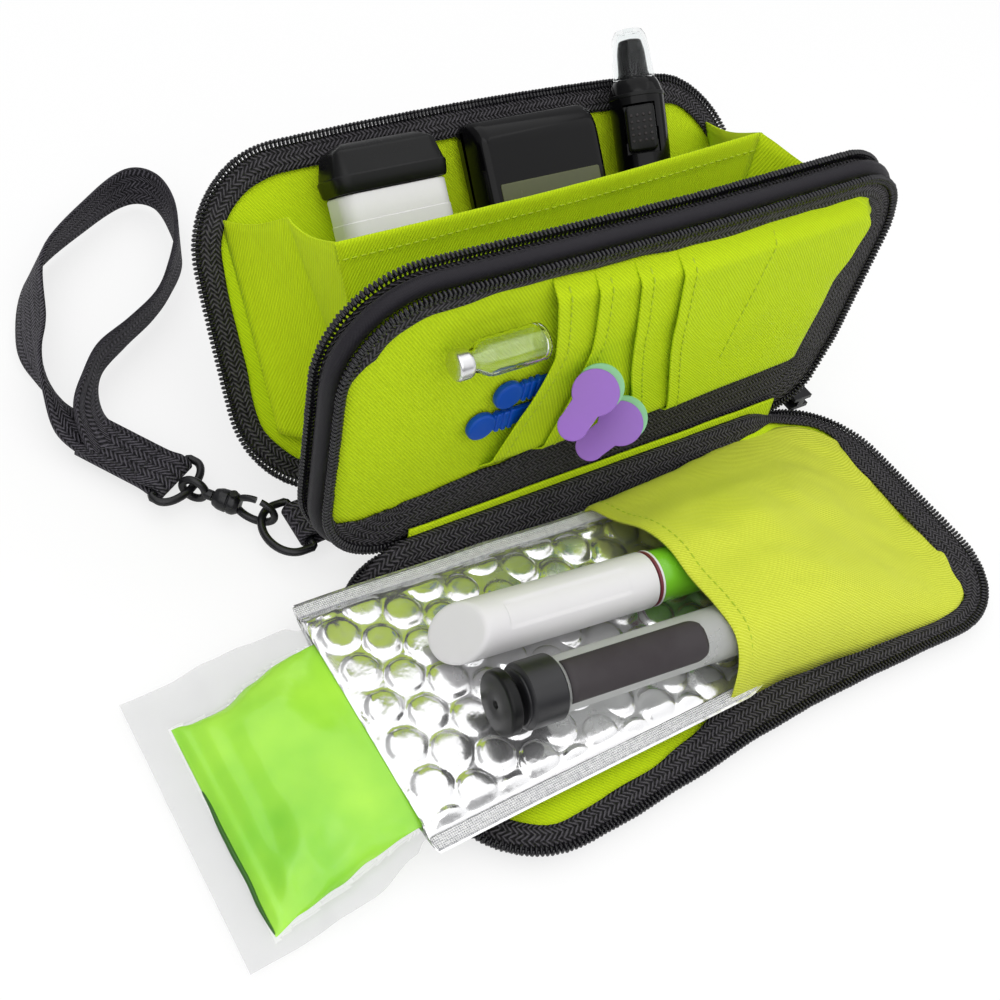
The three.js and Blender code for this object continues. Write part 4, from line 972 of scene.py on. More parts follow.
# a thin dark tube along the gel's left edge, where it turns under: painted shade
edgeLine = [(-152.9 + 0.5 * ripple(5 - k, 3, 4.1, 9), 5 - k, 3.5) for k in range(41)]
edgeShade = tubePiece("edgeShade", edgeLine, lambda t: 0.15 + 0.5 * sin(pi * t) ** 0.5, gelPaintedShade, frontFrame,
                      sides=8)
gelFill = joinPieces("gelFilling", [gelFill, edgeShade])
dress(gelFill, "gel_pack", "cold_gel", "gel_pack")


def filmSpot(x, share, upper):
    low, high = readLine(gel["filmFront"], x), readLine(gel["filmBack"], x)
    y = low + (high - low) * share
    near = max(x, gel["fillFrom"])
    foot, middle = gelLevels(near)[:2]
    margin = gel["filmLevel"] + (middle - gel["filmLevel"]) * smoothStep(*gel["filmRise"], x)
    margin += (0.7 * ripple(x, y, 4.6, 18) + 0.35 * ripple(x, y, 6.6, 6)) * (1 - smoothStep(*gel["filmCalm"], x))
    inFill = (1 - smoothStep(*gel["filmWrap"], gelShare(x, y))) * smoothStep(*gel["filmTipWrap"], x)
    if upper:
        free, skin = margin + gel["filmHalf"], max(gelTop(near, y) + 0.3, margin + 0.2)
    else:
        free, skin = margin - gel["filmHalf"], min(margin - gel["filmHalf"], foot - 0.12)
    return Vector((x, y, free * (1 - inFill) + skin * inFill))


filmShares = [0.5 + 0.5 * (sin(pi * (i / 72 - 0.5)) * 0.4 + (2 * i / 72 - 1) * 0.6) for i in range(73)]
filmRows = []
for k in range(73):
    x = gel["filmTip"] + (gel["filmTo"] - gel["filmTip"]) * k / 72
    filmRows.append([filmSpot(x, s, True) for s in filmShares]
                    + [filmSpot(x, s, False) for s in filmShares[::-1][1:-1]])
gelFilm = solidPiece("gelFilm", filmRows, filmMargin, frontFrame, 80)
gelFilm.data.materials.append(clearFilm)
for face in gelFilm.data.polygons:
    spot = frontFrame.inverted() @ (face.center * 1000)
    if gelShare(spot.x, spot.y) < 1.03 and spot.x > gel["fillFrom"] - 0.5:
        face.material_index = 1
dress(gelFilm, "gel_pack", "cold_gel")
print("pouch and gel pack made")


# pens on the pouch
cappedFrame = move((-87, -44.60, 23.50)) @ penTurn
dialFrame = move((-84, -68.20, 24.30)) @ penTurn
cappedPen = {
    "radius": 8.2, "slant": 11.0, "slantTo": 24, "slantFacing": (-0.34, 0.94),
    "panelFrom": 13, "panelTo": 57, "panelEnd": 1.2, "panelTurn": 112, "panelHalf": (24, 27), "panelDeep": 0.34,
    "face": [(0.0, 6.4), (0.0, 7.1), (0.12, 7.55), (0.45, 7.95), (0.95, 8.15)],
    "steps": [1.6, 5, 9, 12.5, 13.2, 14.2, 20, 28, 40, 50, 55.8, 56.4, 57.1, 61, 65.2],
    "mouth": [(65.8, 8.0), (66, 7.6)],
    "barrel": [(67.8, 7.0), (67.8, 7.6, 0.3), (88, 7.6, 2), (91.4, 5.6, 1), (92, 4.8)],
    "rim": [(67.1, 7.5), (67.1, 8.2, 0.2), (67.8, 8.2, 0.2), (67.8, 7.5)],
    "band": [(66.3, 7.2), (66.3, 8.1, 0.1), (67.1, 8.1, 0.1), (67.1, 7.2)],
}


def cappedLoop(x, radius):
    # a round cap cut off on a slant, with a long flat along its upper front
    loop = []
    low, high, end = (cappedPen[key] for key in ("panelFrom", "panelTo", "panelEnd"))
    fade = 1 - smoothStep(0, cappedPen["slantTo"], x)
    panel = smoothStep(low, low + end, x) * (1 - smoothStep(high - end, high, x))
    for i in range(96):
        a = 2 * pi * i / 96
        y, z = radius * cos(a), radius * sin(a)
        facing = Vector((y, z)).dot(Vector(cappedPen["slantFacing"])) / cappedPen["radius"]
        away = abs((degrees(a) - cappedPen["panelTurn"] + 180) % 360 - 180)
        inset = cappedPen["panelDeep"] * panel * (1 - smoothStep(*cappedPen["panelHalf"], away))
        k = (radius - inset) / radius
        loop.append((x + cappedPen["slant"] * 0.5 * (facing + 1) * fade, y * k, z * k))
    return loop


capSteps = cappedPen["face"] + [(x, cappedPen["radius"]) for x in cappedPen["steps"]] + cappedPen["mouth"]
capRows = [cappedLoop(x, radius) for x, radius in capSteps]
penCap = solidPiece("penCap", capRows, whiteShell, cappedFrame, 38)
dress(penCap, "pen_cap", "white_plastic", "pen_cap")
penBarrel = joinPieces("penBarrel", [
    lathePiece(part, cappedPen[part], finish, cappedFrame)
    for part, finish in (("barrel", greenBarrel), ("rim", whiteShell), ("band", redBand))])
dress(penBarrel, "capped_pen", "green_plastic", "pen_barrel")

dialPen = {
    "button": [(0.75, 0.1), (0.7, 0.8, 0.2), (0.1, 1.15, 0.3), (-0.1, 4.0, 2), (0.15, 8.2, 0.5), (0.8, 8.8, 0.5),
               (3.1, 8.8, 0.4), (3.5, 8.3), (3.5, 3.2), (7.5, 3.2)],
    "dial": [(5.75, 4.2, 0), (5.75, 7.2, 0), (6.0, 7.6, 0), (6.4, 7.6, 0), (6.8, 8.5, 0), (7.3, 8.9, 0.3),
             (8.2, 9.0, 1), (15.4, 9.0, 1), (16.4, 9.0, 0.3), (16.9, 8.6, 0), (17.0, 8.2, 0), (17.0, 6.0, 0)],
    "body": [(17.3, 6.5), (17.3, 7.5, 0.2), (88, 7.6, 2), (91.4, 5.6, 1), (92, 4.8)],
    "rib": 0.1, "stripFrom": 17.9, "stripTo": 61.9, "stripTurn": -27, "stripHalf": 44, "cornerHalf": 26,
    "corner": 4.5, "stripRadius": 7.75, "stripRise": 0.5, "stripThick": 0.35,
}
dialButton = lathePiece("penButton", dialPen["button"], softBlack, dialFrame, sides=64)
dress(dialButton, "pen_button", "black_plastic", "pen_button")
penDial = solidPiece("penDial", ringRows(dialPen["dial"], 96, "X", dialPen["rib"]), dialRing, dialFrame, 30)
dress(penDial, "pen_dial", "dark_plastic", "pen_dial")
bodyTube = lathePiece("bodyTube", dialPen["body"], paleBarrel, dialFrame, sides=64)
stripRows = []
for k in range(61):
    x = dialPen["stripFrom"] + (dialPen["stripTo"] - dialPen["stripFrom"]) * (k / 60) ** 0.7
    left = max(0.0, dialPen["stripTo"] - x)
    # the far corners are rounded
    short = max(0.0, 1 - left / dialPen["corner"])
    half = dialPen["stripHalf"] - dialPen["cornerHalf"] * (1 - sqrt(max(0.0, 1 - short ** 2)))
    stripRows.append([])
    for across in (2 * i / 24 - 1 for i in range(25)):
        a = radians(half * across + dialPen["stripTurn"])
        edge = 1 - max(0, abs(across) - 0.9) * 6
        r = dialPen["stripRadius"] + dialPen["stripRise"] * min(edge, smoothStep(-0.2, 1.5, left), 1)
        stripRows[-1].append((x, r * sin(a), r * cos(a)))
darkStrip = loftPiece("darkStrip", stripRows, sleeveDark, dialFrame, thick=dialPen["stripThick"])
penBody = joinPieces("penBody", [bodyTube, darkStrip])
dress(penBody, "dial_pen", "grey_plastic", "pen_body")
print("pens made")


# card slots and what they hold
slots = {
    "hems": [(-40.5, -36.5, -50), (-27.5, -24.5, -32), (-14.5, -10.5, 1), (0, 3, 15)],
    "bulge": 0.624, "low": -25.2, "high": 40.6, "level": 6.6, "step": 0.9, "puff": 1.5, "tucked": 3.5,
    "right": [(-30, 76), (-20, 78), (10, 79.5), (22, 83), (31, 85.5), (37, 81), (41, 73)], "under": 1.4,
    "thick": 0.5, "flatRight": 88, "flatHigh": 77, "stitchIn": 4.2, "stitchLift": 0.35,
    "steps": [0, 0.004, 0.012, 0.03, 0.045, 0.06, 0.09, 0.13, 0.18, 0.24, 0.31, 0.39, 0.48, 0.58, 0.68, 0.78,
              0.86, 0.92, 0.96, 1.0],
    "diagonal": [(30.1 + 5.6 * k / 60, 0.327 + 0.63 * k / 60) for k in range(61)],
}


def slotHeight(t):
    return slots["low"] + t * (slots["high"] - slots["low"])


def slotRight(v):
    # the far edge follows the tape's border, just under it
    return readLine(slots["right"], v) + slots["under"]


def slotHem(order, t):
    top, middle, foot = slots["hems"][order]
    straight = foot + (middle - foot) * t / slots["bulge"] if t < slots["bulge"] else (
        middle + (top - middle) * (t - slots["bulge"]) / (1 - slots["bulge"]))
    return 0.45 * readLine([(0.0, foot), (slots["bulge"], middle), (1.0, top)], t) + 0.55 * straight


def slotSpot(order, x, t, lift=0.0):
    v = slotHeight(t)
    hem = slotHem(order, t)
    held = sin(pi * min(1, max(0, t))) ** 0.7
    puff = slots["puff"] * exp(-(x - hem) / 7) * held
    fold = 0.5 * ripple(x, t * 70, 3.1 + order * 2, 15) * held
    full = slots["level"] + order * slots["step"] + puff + fold
    ends = max(1 - smoothStep(0.0, 0.09, t), smoothStep(0.91, 1.0, t))
    tuck = max(ends, smoothStep(-7, -1.5, x - slotRight(v)))
    return Vector((x, v, full + (slots["tucked"] + 0.07 * order - full) * tuck + lift))


def slotStitch(order, x, t):
    return settleDivider(dividerFrame @ slotSpot(order, x, t, slots["stitchLift"]))


for order in range(4):
    rows = []
    for t in (k / 42 for k in range(43)):
        hem, far = slotHem(order, t), slotRight(slotHeight(t))
        rows.append([slotSpot(order, hem + s * (far - hem), t) for s in slots["steps"]])
    slot = loftPiece("cardSlot%d" % (order + 1), rows, limeTwill, dividerFrame, thick=slots["thick"],
                     settle=settleDivider)
    dress(slot, "case", "lime_lining", "card_slot_%d" % (order + 1))
    limeRuns["case"].append([slotStitch(order, slotHem(order, t) + slots["stitchIn"], t)
                             for t in (0.05 + 0.9 * k / 60 for k in range(61))])
limeRuns["case"].append([slotStitch(3, x, t) for x, t in slots["diagonal"]])

vialFrame = move((-66.80, -7.92, 82.75)) @ dividerTurn
vialSizes = {
    "outside": [(0, 2.6), (0, 2.9, 0.3), (1.5, 3.1, 0.8), (4.6, 5.1, 1.8), (21.4, 5.1, 1.2), (22.5, 4.1, 0.7),
                (22.45, 0.06)],
    "inside": [(21.5, 0.05), (21.4, 3.8, 0.8), (20.4, 4.4, 1.0), (5.0, 4.4, 1.4), (1.9, 2.4, 0.8), (0, 2.2)],
    "crimp": [(-5, 1.6), (-5, 2.2, 0.2), (-4.7, 3.7, 0.4), (-4.2, 4.0, 0.4), (-1.2, 4.0, 0.4), (-0.5, 3.7, 0.2),
              (-0.3, 2.9)],
}
vial = lathePiece("insulinVial", vialSizes["outside"] + vialSizes["inside"], vialGlass, vialFrame, sides=56,
                  sharp=50)
vialCap = lathePiece("vialCrimp", vialSizes["crimp"], crimpedCap, vialFrame)
dress(vial, "insulin_vial", "vial_glass", "insulin_vial")
dress(vialCap, "insulin_vial", "silver_cap", "insulin_vial_cap")

lancetSizes = {
    "places": [(-47, 51.9), (-54, 42.7)], "level": 3.8, "stemFrom": 3.6, "stemTo": -33.5, "stemHalf": 2.9,
    "head": [(0, 3.4), (0, 4.1, 0.4), (0.5, 4.5, 0.4), (1.9, 4.5, 0.5), (2.4, 3.9, 0.3), (2.4, 1.5)],
    "stem": [(0.4, 0.1), (0, 0.45), (0, 1.55), (0.4, 1.9)],
    "collar": [(0.3, 0.0), (0, 0.4), (0, 2.0), (0.3, 2.3)], "collarHalf": 3.3, "collars": (5.2, 7.4, 9.6),
}
for number, (x, v) in enumerate(lancetSizes["places"], 1):
    seat = move((0, 0, 8)) @ dividerTurn @ move((x, v, lancetSizes["level"]))
    head = lathePiece("head", lancetSizes["head"], bluePlastic, seat @ spin(-90, "Y"), sides=40)
    half = (lancetSizes["stemTo"] - x - lancetSizes["stemFrom"]) / 2
    stem = stackPiece("stem", half, lancetSizes["stemHalf"], 0.9, lancetSizes["stem"], bluePlastic,
                      seat @ move((lancetSizes["stemFrom"] + half, 0, 0)))
    collars = [stackPiece("collar", 0.75, lancetSizes["collarHalf"] + 0.1 * k, 0.5, lancetSizes["collar"],
                          bluePlastic, seat @ move((at, 0, 0))) for k, at in enumerate(lancetSizes["collars"])]
    lancet = joinPieces("lancet%d" % number, [head, stem] + collars)
    dress(lancet, "lancet_%d" % number, "blue_plastic", "lancet_%d" % number)

needle = {
    "tab": 6.5, "lobe": 4.2, "lobeAt": 10.8, "lobeFrom": 6.2, "neckTurn": 40, "lobeTurn": 101,
    "shift": (0.35, 0, -1.4), "capShift": (1.9, 0, -0.7), "rib": 0.3,
    "axes": ((0.835, -0.128, 0.535), (-0.531, -0.441, 0.724)),
    "plans": [((-27.2, -16.55, 63.88), -65), ((-13.1, -16.92, 46.79), -83)],
    "cap": [(-13, 2.6, 0), (-13, 3.5, 0), (-12.6, 3.8, 0.2), (-10, 4.4, 1), (-4.2, 5.9, 1), (-3.4, 6.3, 0),
            (-3, 6.4, 0), (-0.6, 6.5, 0), (-0.3, 6.2, 0), (-0.3, 4.5, 0)],
    "tabLevels": [(0.5, 0.0), (0.12, 0.05), (0, 0.2), (0, 0.5), (0.15, 0.66), (0.6, 0.7)],
}
neck, lobeTurn = radians(needle["neckTurn"]), radians(needle["lobeTurn"])
tabTurns = [neck + (2 * pi - 2 * neck) * i / 48 for i in range(49)]
outline = [(needle["tab"] * sin(a), needle["tab"] * cos(a)) for a in tabTurns]
outline += [(needle["lobe"] * sin(a), needle["lobeAt"] + needle["lobe"] * cos(a))
            for a in (lobeTurn * (i / 16 - 1) for i in range(33))]
tabRows = []
for inset, y in needle["tabLevels"]:
    tabRows.append([])
    for px, pz in outline:
        cz = 0 if pz < needle["lobeFrom"] else needle["lobeAt"]
        away = hypot(px, pz - cz)
        k = (away - inset) / away
        tabRows[-1].append((px * k, y, cz + (pz - cz) * k))
for number, (spot, turn) in enumerate(needle["plans"], 1):
    seat = axesFrame(spot, *needle["axes"]) @ move(needle["shift"])
    cap = solidPiece("needleCap%d" % number, ringRows(needle["cap"], 48, "Y", needle["rib"]), mintCap,
                     seat @ move(needle["capShift"]), 35)
    dress(cap, "needle_%d" % number, "mint_plastic", "needle_cap_%d" % number)
    tab = solidPiece("needleTab%d" % number, tabRows, purplePaper, seat @ spin(turn, "Y"), 40)
    dress(tab, "needle_tab_%d" % number, "purple_paper", "needle_tab_%d" % number)
print("card slots and needles made")


# gusset pocket behind the divider
gusset = {
    "left": -84, "right": 60, "taper": 16, "height": 88, "rise": 5, "seam": 91, "rearSeam": 84, "tuck": 12,
    "rear": -5.6, "foot": (0, 10, 7.7), "lean": 105, "thick": 0.6, "stitch": 0.95, "lap": 0.8, "foldOut": 3.0,
    "flat": (0.146, 0.104), "wallFlat": 0.088,
    "hem": [(0.93, -0.75), (0.992, -0.7), (1.0, -0.35), (1.002, 0.0), (0.998, 0.3), (0.985, 0.34), (0.94, 0.3),
            (0.934, 0.1), (0.925, 0.0)],
}
pocketFrame = move(gusset["foot"]) @ spin(180 - gusset["lean"], "X")
dividerFoot = dividerFrame @ move((0, -case["halfHeight"], 0))
backFoot = backFrame @ move((0, -case["halfHeight"], 0))


def pocketSpot(s, t, lift):
    inset = gusset["taper"] * (1 - t)
    x = gusset["left"] + inset + s * (gusset["right"] - gusset["left"] - 2 * inset)
    sag = -1.6 * sin(pi * s) * t
    belly = -2.2 * sin(pi * s) * sin(pi * min(1, t * 0.9))
    fold = 0.5 * ripple(x, t * 90, 6.6, 24) + 0.25 * ripple(x, t * 90, 1.6, 9)
    y = t * (gusset["height"] + s * gusset["rise"]) + sag
    return Vector((x, y, 0.4 + belly + fold * sin(pi * s) + lift))


pocketSteps = gusset["hem"] + [(gusset["hem"][-1][0] * (1 - r / 24), 0.0) for r in range(1, 25)]
pocketRows = [[pocketSpot(k / 48, t, lift) for k in range(49)] for t, lift in pocketSteps]
pocketFront = loftPiece("gussetPocketFront", pocketRows, limeTwill, pocketFrame, thick=gusset["thick"])
dress(pocketFront, "case", "lime_lining", "gusset_pocket_front")
limeRuns["case"].append([pocketFrame @ pocketSpot(k / 80, gusset["stitch"], 0.75) for k in range(1, 80)])


def gussetSpot(side, s, t):
    inset = gusset["taper"] * (1 - t)
    rise = gusset["rise"] if side > 0 else 0
    end = gusset["right"] if side > 0 else gusset["left"]
    onBack = backFoot @ Vector((side * gusset["seam"], 18 + 63 * t, 0.6))
    onFront = pocketFrame @ Vector((end - side * (inset + gusset["lap"]),
                                    2 + t * (gusset["height"] + rise - 2), -0.15))
    if side > 0:
        # one fold beside the pocket, then on to the divider
        fold = onFront + Vector((gusset["foldOut"], 0, 0))
        far = dividerFoot @ Vector((gusset["rearSeam"] - inset, 14 + t * (gusset["height"] - 20), gusset["rear"]))
    else:
        # tucked in between the back cover and the pocket
        fold = onBack.lerp(onFront, 0.5) + Vector((gusset["tuck"] * (1 - 0.8 * t), 0, 3.5 * t))
        far = onFront
    spot = onBack.lerp(fold, 2 * s) if s < 0.5 else fold.lerp(far, 2 * s - 1)
    soft = exp(-((s - 0.5) / 0.05) ** 2) * 0.8
    sag = -2.0 * sin(pi * (2 * s % 1)) * t
    wave = 0.5 * ripple(s * 60, t * 80, 2.7 + side, 14) * sin(pi * (2 * s % 1))
    return spot + Vector((wave - side * soft, 0, sag))


gussetSteps = [0.5 * i / 12 for i in range(11)] + [0.44, 0.465, 0.485, 0.5, 0.515, 0.535, 0.56] + [
    0.5 + 0.5 * i / 12 for i in range(2, 13)]
ahead, foot = Vector((0, 0.966, -0.259)), Vector(gusset["foot"]) * 0.001
for side, label, node in ((-1, "gussetLeft", "gusset_left"), (1, "gussetRight", "gusset_right")):
    rows = [[gussetSpot(side, s, 1 - 0.99 * k / 26) for s in sorted(set(gussetSteps))] for k in range(27)]
    wall = loftPiece(label, rows, limeTwill, thick=gusset["thick"])
    dress(wall, "case", "lime_lining", node,
          blend=("back_cover", tuple(foot + ahead * 0.003), tuple(foot + ahead * 0.025)))
print("gusset pocket made")


# meter, strip vial and lancing device in the pocket
meterFrame = move((10, 60.32, 44.66)) @ backTurn
meter = {
    "half": 22.4, "rise": 43, "fall": 41, "deep": 15.6,
    "ends": [(0, 2.4), (0.5, 1.2), (1.3, 0.45), (2.5, 0.1), (4, 0)],
    "corners": [(1, 0, 4, -90), (1, 1, 8.5, 0), (-1, 1, 4, 90), (-1, 0, 2.5, 180)],
    "display": [(0.3, 15.4), (0, 15.65), (0.1, 15.9), (0.4, 16.0)], "displayHalf": (18.8, 12.9), "displayAt": 10,
    "key": [(0.2, 13.9), (0, 14.4), (0, 16.0), (0.3, 16.5), (1.1, 16.8), (2.0, 16.7)], "keyHalf": (8, 4),
    "keyAt": -18,
}


def meterLoop(x, inset):
    # side view of the meter: a deep rounding at the upper front, smaller ones elsewhere
    deep = meter["deep"] - inset
    loop = []
    for across, front, r, turn in meter["corners"]:
        cy = across * ((meter["rise"] if across > 0 else meter["fall"]) - inset - r)
        cz = deep - r if front else inset + r
        for i in range(9):
            a = radians(turn + 90 * i / 8)
            loop.append((x, cy + r * cos(a), cz + r * sin(a)))
    return loop


meterRows = [meterLoop(-meter["half"] + x, inset) for x, inset in meter["ends"]]
meterRows += [meterLoop(meter["half"] - x, inset) for x, inset in meter["ends"][::-1]]
meterCase = solidPiece("meterCase", meterRows, glossBlack, meterFrame, 30)
dress(meterCase, "meter", "black_plastic", "meter_case")
display = stackPiece("meterDisplay", *meter["displayHalf"], 0.8, meter["display"], oliveDisplay,
                     meterFrame @ move((0, meter["displayAt"], 0)))
dress(display, "meter", "display", "meter_display")
meterKey = stackPiece("meterKey", *meter["keyHalf"], 3.4, meter["key"], softBlack,
                      meterFrame @ move((0, meter["keyAt"], 0)))
dress(meterKey, "meter_key", "black_plastic", "meter_key")

stripSizes = {
    "tub": [(1.2, 0), (0.3, 0.3), (0, 1.0), (0, 42), (0.2, 42.2), (0.2, 49.3), (0.6, 49.8), (2.2, 49.8)],
    "lid": [(1.6, 50.1), (0.9, 50.3), (0.5, 51.0), (0.0, 54.2), (0.05, 54.8), (0.5, 55.3), (2.2, 61.3),
            (2.6, 61.9), (3.3, 62.5), (6.0, 63.8), (7.2, 64.2), (8.4, 64.3)],
}
stripFrame = move((-46.5, 39.56, 35.31)) @ backTurn @ move((3.0, 0, 0)) @ spin(-90, "X")
tub = stackPiece("stripVial", 17.9, 8.2, 5.5, stripSizes["tub"], whiteShell, stripFrame, 12)
dress(tub, "strip_vial", "white_plastic", "strip_vial")
lid = stackPiece("stripVialCap", 18.8, 9.2, 5, stripSizes["lid"], softBlack, stripFrame, 7, 25)
dress(lid, "strip_vial_cap", "black_plastic", "strip_vial_cap")

lancer = {
    "body": [(0, 4.0), (0, 6.4, 1.2), (3, 8.1, 2), (45, 7.74, 6), (62, 8.9, 4), (64, 8.9), (66.1, 8.95),
             (66.5, 8.95), (70, 8.95), (74, 9.0), (78, 9.0), (81.5, 9.0), (81.9, 9.0), (85, 9.0, 2.5),
             (88.6, 7.9, 1.2), (90, 7.0, 0.3), (90, 5.5)],
    "columns": 112, "recess": (66.3, 81.7), "recessHalf": 5.2, "recessLevel": 5.4,
    "ring": [(84.2, 8.6), (84.2, 9.2, 0.2), (85.4, 9.2, 0.2), (85.4, 8.6)],
    "buttonAt": 74, "button": [(0.3, 7.0), (0, 7.6), (0, 9.5), (0.3, 9.9), (0.8, 10.05)],
    "grip": [(0.1, 9.9), (0, 10.15), (0.2, 10.4)], "gripFrom": (-3, -4), "gripPitch": 2,
    "cap": [(90.3, 5.6), (90.3, 6.84, 0.3), (98, 6.3, 1), (104, 5.5, 1.2), (105.8, 4.2, 0.4), (105.8, 1.6, 0.3),
            (104.6, 1.4, 0.3), (104.4, 4.0, 0.8), (98, 5.2, 1), (91, 5.6)],
    "core": [(89.6, 5.2), (91.6, 5.2, 0.3), (92.4, 4.9, 0.3), (99.0, 4.5, 1), (102.4, 3.7, 0.6), (103.0, 1.0)],
}
lancerFrame = axesFrame((46.80, 24.41, 19.35), (0.816, -0.468, 0.339), (0.087, 0.679, 0.729))
lancerRows = ringRows([(along, radius, 0) for along, radius in fillet(lancer["body"])], lancer["columns"], "Y")
low, high = lancer["recess"]
for row in lancerRows:
    # a recess under the button, deep enough for its stroke
    for i, (x, along, z) in enumerate(row):
        if z > 0 and abs(x) < lancer["recessHalf"] and low < along < high:
            row[i] = (x, along, lancer["recessLevel"])
lancerBody = solidPiece("lancerBody", lancerRows, glossBlack, lancerFrame, 35)
collarRing = lathePiece("collarRing", lancer["ring"], softBlack, lancerFrame, axis="Y", sides=56)
lancerBody = joinPieces("lancerBody", [lancerBody, collarRing])
dress(lancerBody, "lancer", "black_plastic", "lancer_body")
padFrame = lancerFrame @ move((0, lancer["buttonAt"], 0))
pad = stackPiece("lancerButton", 4.6, 7.2, 1.4, lancer["button"], softBlack, padFrame)
grips = []
for k in range(20):
    x, y = (first + lancer["gripPitch"] * n for first, n in zip(lancer["gripFrom"], (k % 4, k // 4)))
    grips.append(stackPiece("grip", 0.5, 0.5, 0.45, lancer["grip"], sleeveDark, padFrame @ move((x, y, 0)), 3))
pad = joinPieces("lancerButton", [pad] + grips)
dress(pad, "lancer_button", "dark_plastic", "lancer_button")
lancerCap = lathePiece("lancerCap", lancer["cap"], clearCap, lancerFrame, axis="Y", sharp=50)
dress(lancerCap, "lancer_cap", "clear_plastic", "lancer_cap")
core = lathePiece("lancerCore", lancer["core"], glossBlack, lancerFrame, axis="Y", sides=32)
dress(core, "lancer", "black_plastic")
print("devices made")


# strap, rings and clasp
strap = {
    "width": 15, "thick": 1.5, "wire": 1.2, "ringHalf": 9.2, "ringReach": 11, "endHalf": 9.3, "endReach": 7.5,
    "bowShare": 0.65, "hookLoop": 6, "hookHigh": 4.4, "hookMiddle": 2.7, "eye": 3.6, "eyeAt": 21.8, "drop": -0.6,
    "barrel": [(7.3, 1.6), (7.4, 2.4, 0.4), (8.8, 3.4, 0.6), (10.4, 3.4, 0.2), (10.8, 3.0, 0.2), (11.2, 3.4, 0.2),
               (13.4, 3.3, 0.5), (15.3, 2.5, 0.4), (15.5, 1.4)],
    "thumb": [(9.2, 0, 2.2), (9.4, 0, 3.2), (9.4, 0, 3.9)],
    "post": [(15.8, 0.9), (15.8, 1.6, 0.2), (18.2, 1.6, 0.2), (18.4, 1.0)],
    "sewnAt": 34.5, "tabWidth": 13, "tabThick": 1.4, "tabBack": 15.5,
    "stitch": {"Spacing": 2.2, "Length": 1.7, "Width": 0.6, "Height": 0.5, "Seed": 3},
}
claspFrame = move((-102.73, 23.14, 7)) @ spin(130.8, "Z")
endFrame = move((-117.45, 40.19, 6.4)) @ spin(122, "Z")


def ringLine(half, reach, shift):
    share = strap["bowShare"]
    line = []
    for i in range(33):
        a = (0.5 + i / 32) * pi
        line.append((shift + reach * (share - 1 + share * cos(a)), half * sin(a), 0))
    # the straight bar and its rounded corners
    corner = [(shift - 0.6, -half, 0), (shift - 0.1, -half + 0.5, 0), (shift, -half + 1.2, 0)]
    bar = [(shift, -half + 1.2 + (2 * half - 2.4) * k / 12, 0) for k in range(1, 12)]
    return line + corner + bar + [(x, -y, z) for x, y, z in corner[::-1]]


caseRing = tubePiece("caseRing", ringLine(strap["ringHalf"], strap["ringReach"], 0), strap["wire"],
                     blackLacquer, move((-94.9, strap["tabBack"], 7)), closed=True, sides=18)
dress(caseRing, "case_ring", "black_metal", "case_ring")
strapRing = tubePiece("strapRing", ringLine(strap["endHalf"], strap["endReach"], 7.5), strap["wire"],
                      blackLacquer, endFrame, closed=True, sides=18)
dress(strapRing, "strap", "black_metal", "strap_ring")


def hookSpot(turn):
    a = turn * pi
    return (strap["hookMiddle"] + strap["hookLoop"] * cos(a), 0, strap["hookHigh"] * sin(a))


def hookWire(t):
    # full up to the bend, then thinner towards the tip
    return strap["wire"] * (1.0 if t < 0.6 else 1.0 - 0.2 * (t - 0.6) / 0.4)


lowFrame = claspFrame @ move((0, 0, strap["drop"]))
hook = tubePiece("hook", [hookSpot(-0.03 - 1.39 * k / 40) for k in range(41)], hookWire, blackLacquer, claspFrame)
barrel = lathePiece("barrel", strap["barrel"], blackLacquer, lowFrame, sides=36)
thumb = tubePiece("thumb", strap["thumb"], lambda t: 0.9 + 0.35 * t, blackLacquer, claspFrame)
claspHook = joinPieces("claspHook", [hook, barrel, thumb])
dress(claspHook, "clasp", "black_metal", "clasp_hook")
gate = tubePiece("claspGate", [hookSpot(0.25 + 0.255 * k / 14) for k in range(15)], strap["wire"] * 0.85,
                 blackLacquer, claspFrame)
dress(gate, "clasp_gate", "black_metal", "clasp_gate")
eyeTurns = [2 * pi * k / 40 for k in range(40)]
eyeLine = [(strap["eyeAt"] + strap["eye"] * cos(a), 0, strap["drop"] + strap["eye"] * sin(a)) for a in eyeTurns]
eye = tubePiece("eye", eyeLine, strap["wire"], blackLacquer, claspFrame, closed=True, sides=16)
post = lathePiece("post", strap["post"], blackLacquer, lowFrame, sides=24)
claspEye = joinPieces("claspEye", [eye, post])
dress(claspEye, "clasp_eye", "black_metal", "clasp_eye")


def aheadAt(spots, i):
    return (spots[min(i + 1, len(spots) - 1)] - spots[max(i - 1, 0)]).normalized()


def ribbonPiece(name, spots, acrosses, width, thick, place=Matrix()):
    # a flat band with softened edges
    upper = [(-1, 0.55), (-0.95, 1), (-0.6, 1), (-0.2, 1), (0.2, 1), (0.6, 1), (0.95, 1), (1, 0.55)]
    section = upper + [(a, -b) for a, b in upper[::-1]]
    rows = []
    for i, (spot, across) in enumerate(zip(spots, acrosses)):
        through = aheadAt(spots, i).cross(across).normalized()
        rows.append([spot + across * (a * width / 2) + through * (b * thick / 2) for a, b in section])
    # columns run along the band, so the weave follows it
    columns = [list(line) for line in zip(*rows)]
    return loftPiece(name, columns + columns[:1], strapTwill, place, sharp=70)


sewnTo = endFrame @ Vector((strap["sewnAt"], 0, 0))
